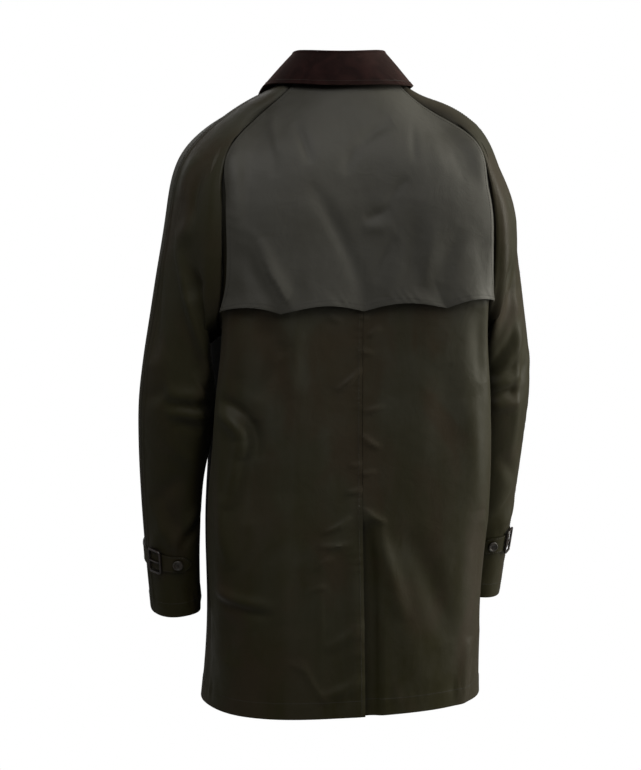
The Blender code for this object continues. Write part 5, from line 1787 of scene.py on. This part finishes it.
@dataclass(frozen=True)
class Button:
    """A turned four-hole button, sewn on with crossed thread."""

    radius: float
    height: float = 0.0030
    dish: float = 0.62               # height of its middle, as a share
    steps: int = 48
    hole: float = 0.0011
    hole_place: float = 0.0022

    def make(self, name: str, node: str, spot: np.ndarray, outward: np.ndarray, coat: Coat) -> None:
        """Make the button and its thread.

        Args:
            name: of the piece.
            node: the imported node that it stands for.
            spot: middle of its back.
            outward: the way its face looks.
            coat: for its finishes.
        """
        points = [(0.0, 0.0, 0.0)]
        for across, up in BUTTON_PROFILE:
            for step in range(self.steps):
                turn = 2 * math.pi * step / self.steps
                points.append((across * self.radius * math.cos(turn),
                               across * self.radius * math.sin(turn), up * self.height))
        points.append((0.0, 0.0, self.dish * self.height))
        rings = len(BUTTON_PROFILE)
        faces: list[tuple[int, ...]] = []
        for step in range(self.steps):
            after = (step + 1) % self.steps
            faces.append((0, 1 + after, 1 + step))
            for ring in range(rings - 1):
                low, high = 1 + ring * self.steps, 1 + (ring + 1) * self.steps
                faces.append((low + step, low + after, high + after, high + step))
            top = 1 + (rings - 1) * self.steps
            faces.append((top + step, top + after, len(points) - 1))
        item = linked(name, np.array(points), faces)
        drill = bpy.data.meshes.new("drill")
        cutter = stood("drill", drill)
        drill.from_pydata(*self.drills())
        cut = item.modifiers.new("holes", "BOOLEAN")
        cut.object = cutter
        mesh = applied(item)
        item.modifiers.clear()
        item.data = mesh
        bpy.data.objects.remove(cutter)
        matrix = self.frame(spot, outward)
        mesh.transform(matrix)
        shaded(mesh)
        placed(item, coat.finishes["horn"], [node])
        self.sew_on(name + "_thread", matrix, coat)

    def frame(self, spot: np.ndarray, outward: np.ndarray) -> Matrix:
        """Matrix that carries the button from the origin to its place."""
        up = Vector(outward).normalized()
        side = up.cross(Vector((0.0, 0.0, 1.0))).normalized()
        matrix = Matrix((side, up.cross(side), up)).transposed().to_4x4()
        matrix.translation = Vector(spot)
        return matrix

    def holes(self) -> list[tuple[float, float]]:
        """Middles of the four holes."""
        turns = [math.pi / 4 + quarter * math.pi / 2 for quarter in range(4)]
        return [(self.hole_place * math.cos(turn), self.hole_place * math.sin(turn)) for turn in turns]

    def drills(self) -> tuple[list[tuple[float, float, float]], list[object], list[tuple[int, ...]]]:
        """Points and faces of the four round drills through the dished middle."""
        points, faces, sides = [], [], 12
        for middle in self.holes():
            start = len(points)
            for level in (-0.001, self.height + 0.001):
                for side in range(sides):
                    angle = 2 * math.pi * side / sides
                    points.append((middle[0] + self.hole * math.cos(angle),
                                   middle[1] + self.hole * math.sin(angle), level))
            ring = range(sides)
            faces.append(tuple(start + side for side in reversed(ring)))
            faces.append(tuple(start + sides + side for side in ring))
            for side in ring:
                after = (side + 1) % sides
                faces.append((start + side, start + after, start + sides + after, start + sides + side))
        return points, [], faces

    def sew_on(self, name: str, matrix: Matrix, coat: Coat) -> None:
        """Make the crossed thread in the button's holes."""
        level = self.height * 0.66
        ends = self.holes()
        lines = []
        for first, second in ((0, 2), (1, 3)):
            for aside in (-0.0003, 0.0003):
                path = []
                for t in np.linspace(0, 1, 7):
                    x = ends[first][0] + (ends[second][0] - ends[first][0]) * t
                    y = ends[first][1] + (ends[second][1] - ends[first][1]) * t
                    path.append(matrix @ Vector((x + aside, y - aside * (1 if first == 0 else -1),
                                                 level + 0.0004 * math.sin(math.pi * t))))
                line = np.array([tuple(point) for point in path])
                up = np.array(matrix.to_3x3() @ Vector((0.0, 0.0, 1.0)))
                lines.append((line, np.tile(up, (len(line), 1))))
        whole = Stitching(length=2.2 * self.hole_place, pitch=2.3 * self.hole_place, radius=0.00035)
        lines = [(stretched(line), outward) for line, outward in lines]
        whole.make(name, lines, coat.finishes["thread"])


def stretched(line: np.ndarray) -> np.ndarray:
    """A line a fifth longer about its middle."""
    middle = line.mean(axis=0)
    return middle + 1.2 * (line - middle)


BUTTON_HEIGHTS = (-0.115, -0.255, -0.395, -0.535)
BUTTON_GAP = 0.0006              # between a button's back and the cloth
HALF_CLOTH = 0.0006


def make_buttons(coat: Coat, cuff: CuffForm) -> None:
    """Make the front buttons and those of the cuff straps."""
    centre = len(PLACES) - 1
    for number, height in enumerate(BUTTON_HEIGHTS, 1):
        spot, above = coat.body.points(np.array([height, height + 0.003]), np.full(2, centre))
        outward = np.cross((1.0, 0.0, 0.0), above - spot)
        outward /= np.linalg.norm(outward)
        spot = in_stance(spot + (BUTTON_GAP + HALF_CLOTH) * outward)
        Button(0.0110).make(f"button_{number}", f"front_button_{number}", spot, outward, coat)
    strap = CuffStrap(cuff)
    face = strap.sleeve_cloth / 2 + strap.layer_gap + strap.cloth + BUTTON_GAP
    spot, outward = cuff.spots(strap.button_place, 0.0, face)
    for side in Side:
        turned = np.array([side.value, 1.0, 1.0])
        name = side.name.lower()
        Button(0.0075, hole=0.0008, hole_place=0.0016).make(
            f"strap_button_{name}", f"cuff_button_{name}", in_stance(spot[0] * turned),
            outward[0] * turned, coat)


# --- Studio ------------------------------------------------------------------------------

@dataclass(frozen=True)
class SoftBox:
    """A soft studio lamp: a rectangle that lights one spot."""

    name: str
    place: tuple[float, float, float]
    aim: tuple[float, float, float]
    size: tuple[float, float]
    power: float
    colour: tuple[float, float, float] = (1.0, 1.0, 1.0)

    def make(self) -> None:
        """Make the lamp."""
        lamp = bpy.data.lights.new(self.name, "AREA")
        lamp.shape = "RECTANGLE"
        lamp.size, lamp.size_y = self.size
        lamp.energy = self.power
        lamp.color = self.colour
        item = stood(self.name, lamp)
        item.location = self.place
        item.rotation_euler = (Vector(self.aim) - Vector(self.place)).to_track_quat("-Z", "Y").to_euler()


@dataclass(frozen=True)
class Studio:
    """Pale floor, soft light and the camera."""

    azimuth: float = 167.0
    elevation: float = 7.4
    distance: float = 3.6
    target: tuple[float, float, float] = (0.0, 0.0, -0.43)
    lens: float = 119.3
    shift: tuple[float, float] = (-18 / IMAGE_HEIGHT, -2.5 / IMAGE_HEIGHT)
    floor_height: float = -1.46
    lamps: tuple[SoftBox, ...] = (
        SoftBox("key", (0.5, 2.1, 2.3), (0.0, 0.05, -0.10), (2.6, 2.0), 74.0, (1.0, 0.99, 0.97)),
        SoftBox("fill", (-1.1, 3.6, 1.0), (0.0, 0.0, -0.25), (1.6, 1.6), 7.5),
        SoftBox("rim_right", (-2.4, 0.25, 0.3), (-0.2, 0.0, -0.35), (0.8, 2.4), 94.0, (1.0, 0.98, 0.88)),
        SoftBox("rim_left", (2.4, -0.6, 0.5), (0.2, 0.0, -0.3), (0.7, 2.4), 5.0),
        SoftBox("front", (0.6, -3.2, 1.4), (0.0, 0.0, -0.4), (2.4, 2.0), 20.0),
    )

    def make(self) -> None:
        """Make the floor, the lamps, the world and the camera."""
        scene = bpy.context.scene
        scene.view_settings.view_transform = "Standard"
        half = 30.0
        corners = [(-half, -half, self.floor_height), (half, -half, self.floor_height),
                   (half, half, self.floor_height), (-half, half, self.floor_height)]
        floor = linked("floor", np.array(corners), [(0, 1, 2, 3)])
        floor.data.materials.append(self.floor_material())
        for lamp in self.lamps:
            lamp.make()
        self.make_world()
        self.make_camera()

    def floor_material(self) -> bpy.types.Material:
        """Pale paper: as white as the surroundings to the eye, duller as a reflector."""
        pale, wiring, shader = new_material("pale floor")
        wiring.fill(shader, {"Base Color": (0.30, 0.30, 0.30, 1.0), "Roughness": 0.9})
        path = wiring.node("ShaderNodeLightPath")
        white = wiring.node("ShaderNodeEmission", {"Color": (1.0, 1.0, 1.0, 1.0), "Strength": 1.0})
        seen = wiring.node("ShaderNodeMixShader", {0: path.outputs["Is Camera Ray"],
                                                   1: shader.outputs["BSDF"], 2: white.outputs[0]})
        pale.node_tree.links.new(seen.outputs[0], pale.node_tree.nodes["Material Output"].inputs["Surface"])
        return pale

    def make_world(self) -> None:
        """White all round for the eye, dimmer as a light."""
        world = bpy.data.worlds.new("studio")
        world.use_nodes = True
        tree = world.node_tree
        tree.nodes.clear()
        wiring = Wiring(tree)
        path = wiring.node("ShaderNodeLightPath")
        strength = wiring.node("ShaderNodeMapRange", {"Value": path.outputs["Is Camera Ray"],
                                                      "To Min": 0.14, "To Max": 1.0})
        sky = wiring.node("ShaderNodeBackground", {"Color": (1.0, 1.0, 1.0, 1.0),
                                                   "Strength": strength.outputs["Result"]})
        wiring.node("ShaderNodeOutputWorld", {"Surface": sky.outputs["Background"]})
        bpy.context.scene.world = world

    def make_camera(self) -> None:
        """Make the camera at its angle, looking at the middle of the coat."""
        a, e = math.radians(self.azimuth), math.radians(self.elevation)
        back = Vector((math.sin(a) * math.cos(e), -math.cos(a) * math.cos(e), math.sin(e)))
        camera = bpy.data.cameras.new("camera")
        camera.lens = self.lens
        camera.sensor_width = 36.0
        camera.shift_x, camera.shift_y = self.shift
        camera.clip_end = 100.0
        item = stood("camera", camera)
        item.location = Vector(self.target) + self.distance * back
        item.rotation_euler = (-back).to_track_quat("-Z", "Y").to_euler()
        bpy.context.scene.camera = item


def make_finishes(effects: Effects) -> dict[str, bpy.types.Material]:
    """Build every finish of the coat."""
    kinds = {
        "cotton": WaxedCotton("waxed cotton", (0.0158, 0.0138, 0.0032, 1.0), (0.0375, 0.0360, 0.0275, 1.0),
                              bloom=0.36, arm_bloom_and_sheen=0.30, upper_painted_sheen=0.48, shoulder_wear_and_sheen=0.26,
                              stained=0.85, smooth=0.48, matt=0.64, sheen=0.03, gloss=0.12),
        # the cape: the same cotton in paler, greyer colours, partly rubbed wax and partly painted sheen of
        # the lamp above
        "cape": WaxedCotton("rubbed waxed cotton", (0.0255, 0.0238, 0.0174, 1.0),
                            (0.0465, 0.0448, 0.0384, 1.0), bloom=0.6, smooth=0.58, matt=0.70,
                            sheen=0.10, gloss=0.34),
        "corduroy": Corduroy(),
        "horn": Horn("imitation horn", (0.011, 0.008, 0.005, 1.0), (0.028, 0.018, 0.011, 1.0), 0.40),
        "buckle": Horn("buckle horn", (0.007, 0.004, 0.003, 1.0), (0.022, 0.011, 0.008, 1.0), 0.30),
        "thread": Thread(),
    }
    return {name: kind.material(effects) for name, kind in kinds.items()}


def main() -> None:
    """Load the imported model, build every piece of the coat around it, and light it."""
    logging.basicConfig(level=logging.INFO, format="%(name)s: %(message)s")
    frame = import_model()
    LOG.info("loaded %d packed nodes", len(frame["nodes"]))
    Studio().make()
    coat = Coat(BodyForm(), make_finishes(Effects()))
    back = coat.backs()
    coat.fronts()
    cuff = coat.sleeves()
    coat.collar()
    coat.cape(back)
    for side in Side:
        CuffStrap(cuff).make(coat, side)
    make_buttons(coat, cuff)


if __name__ == "__main__":
    main()
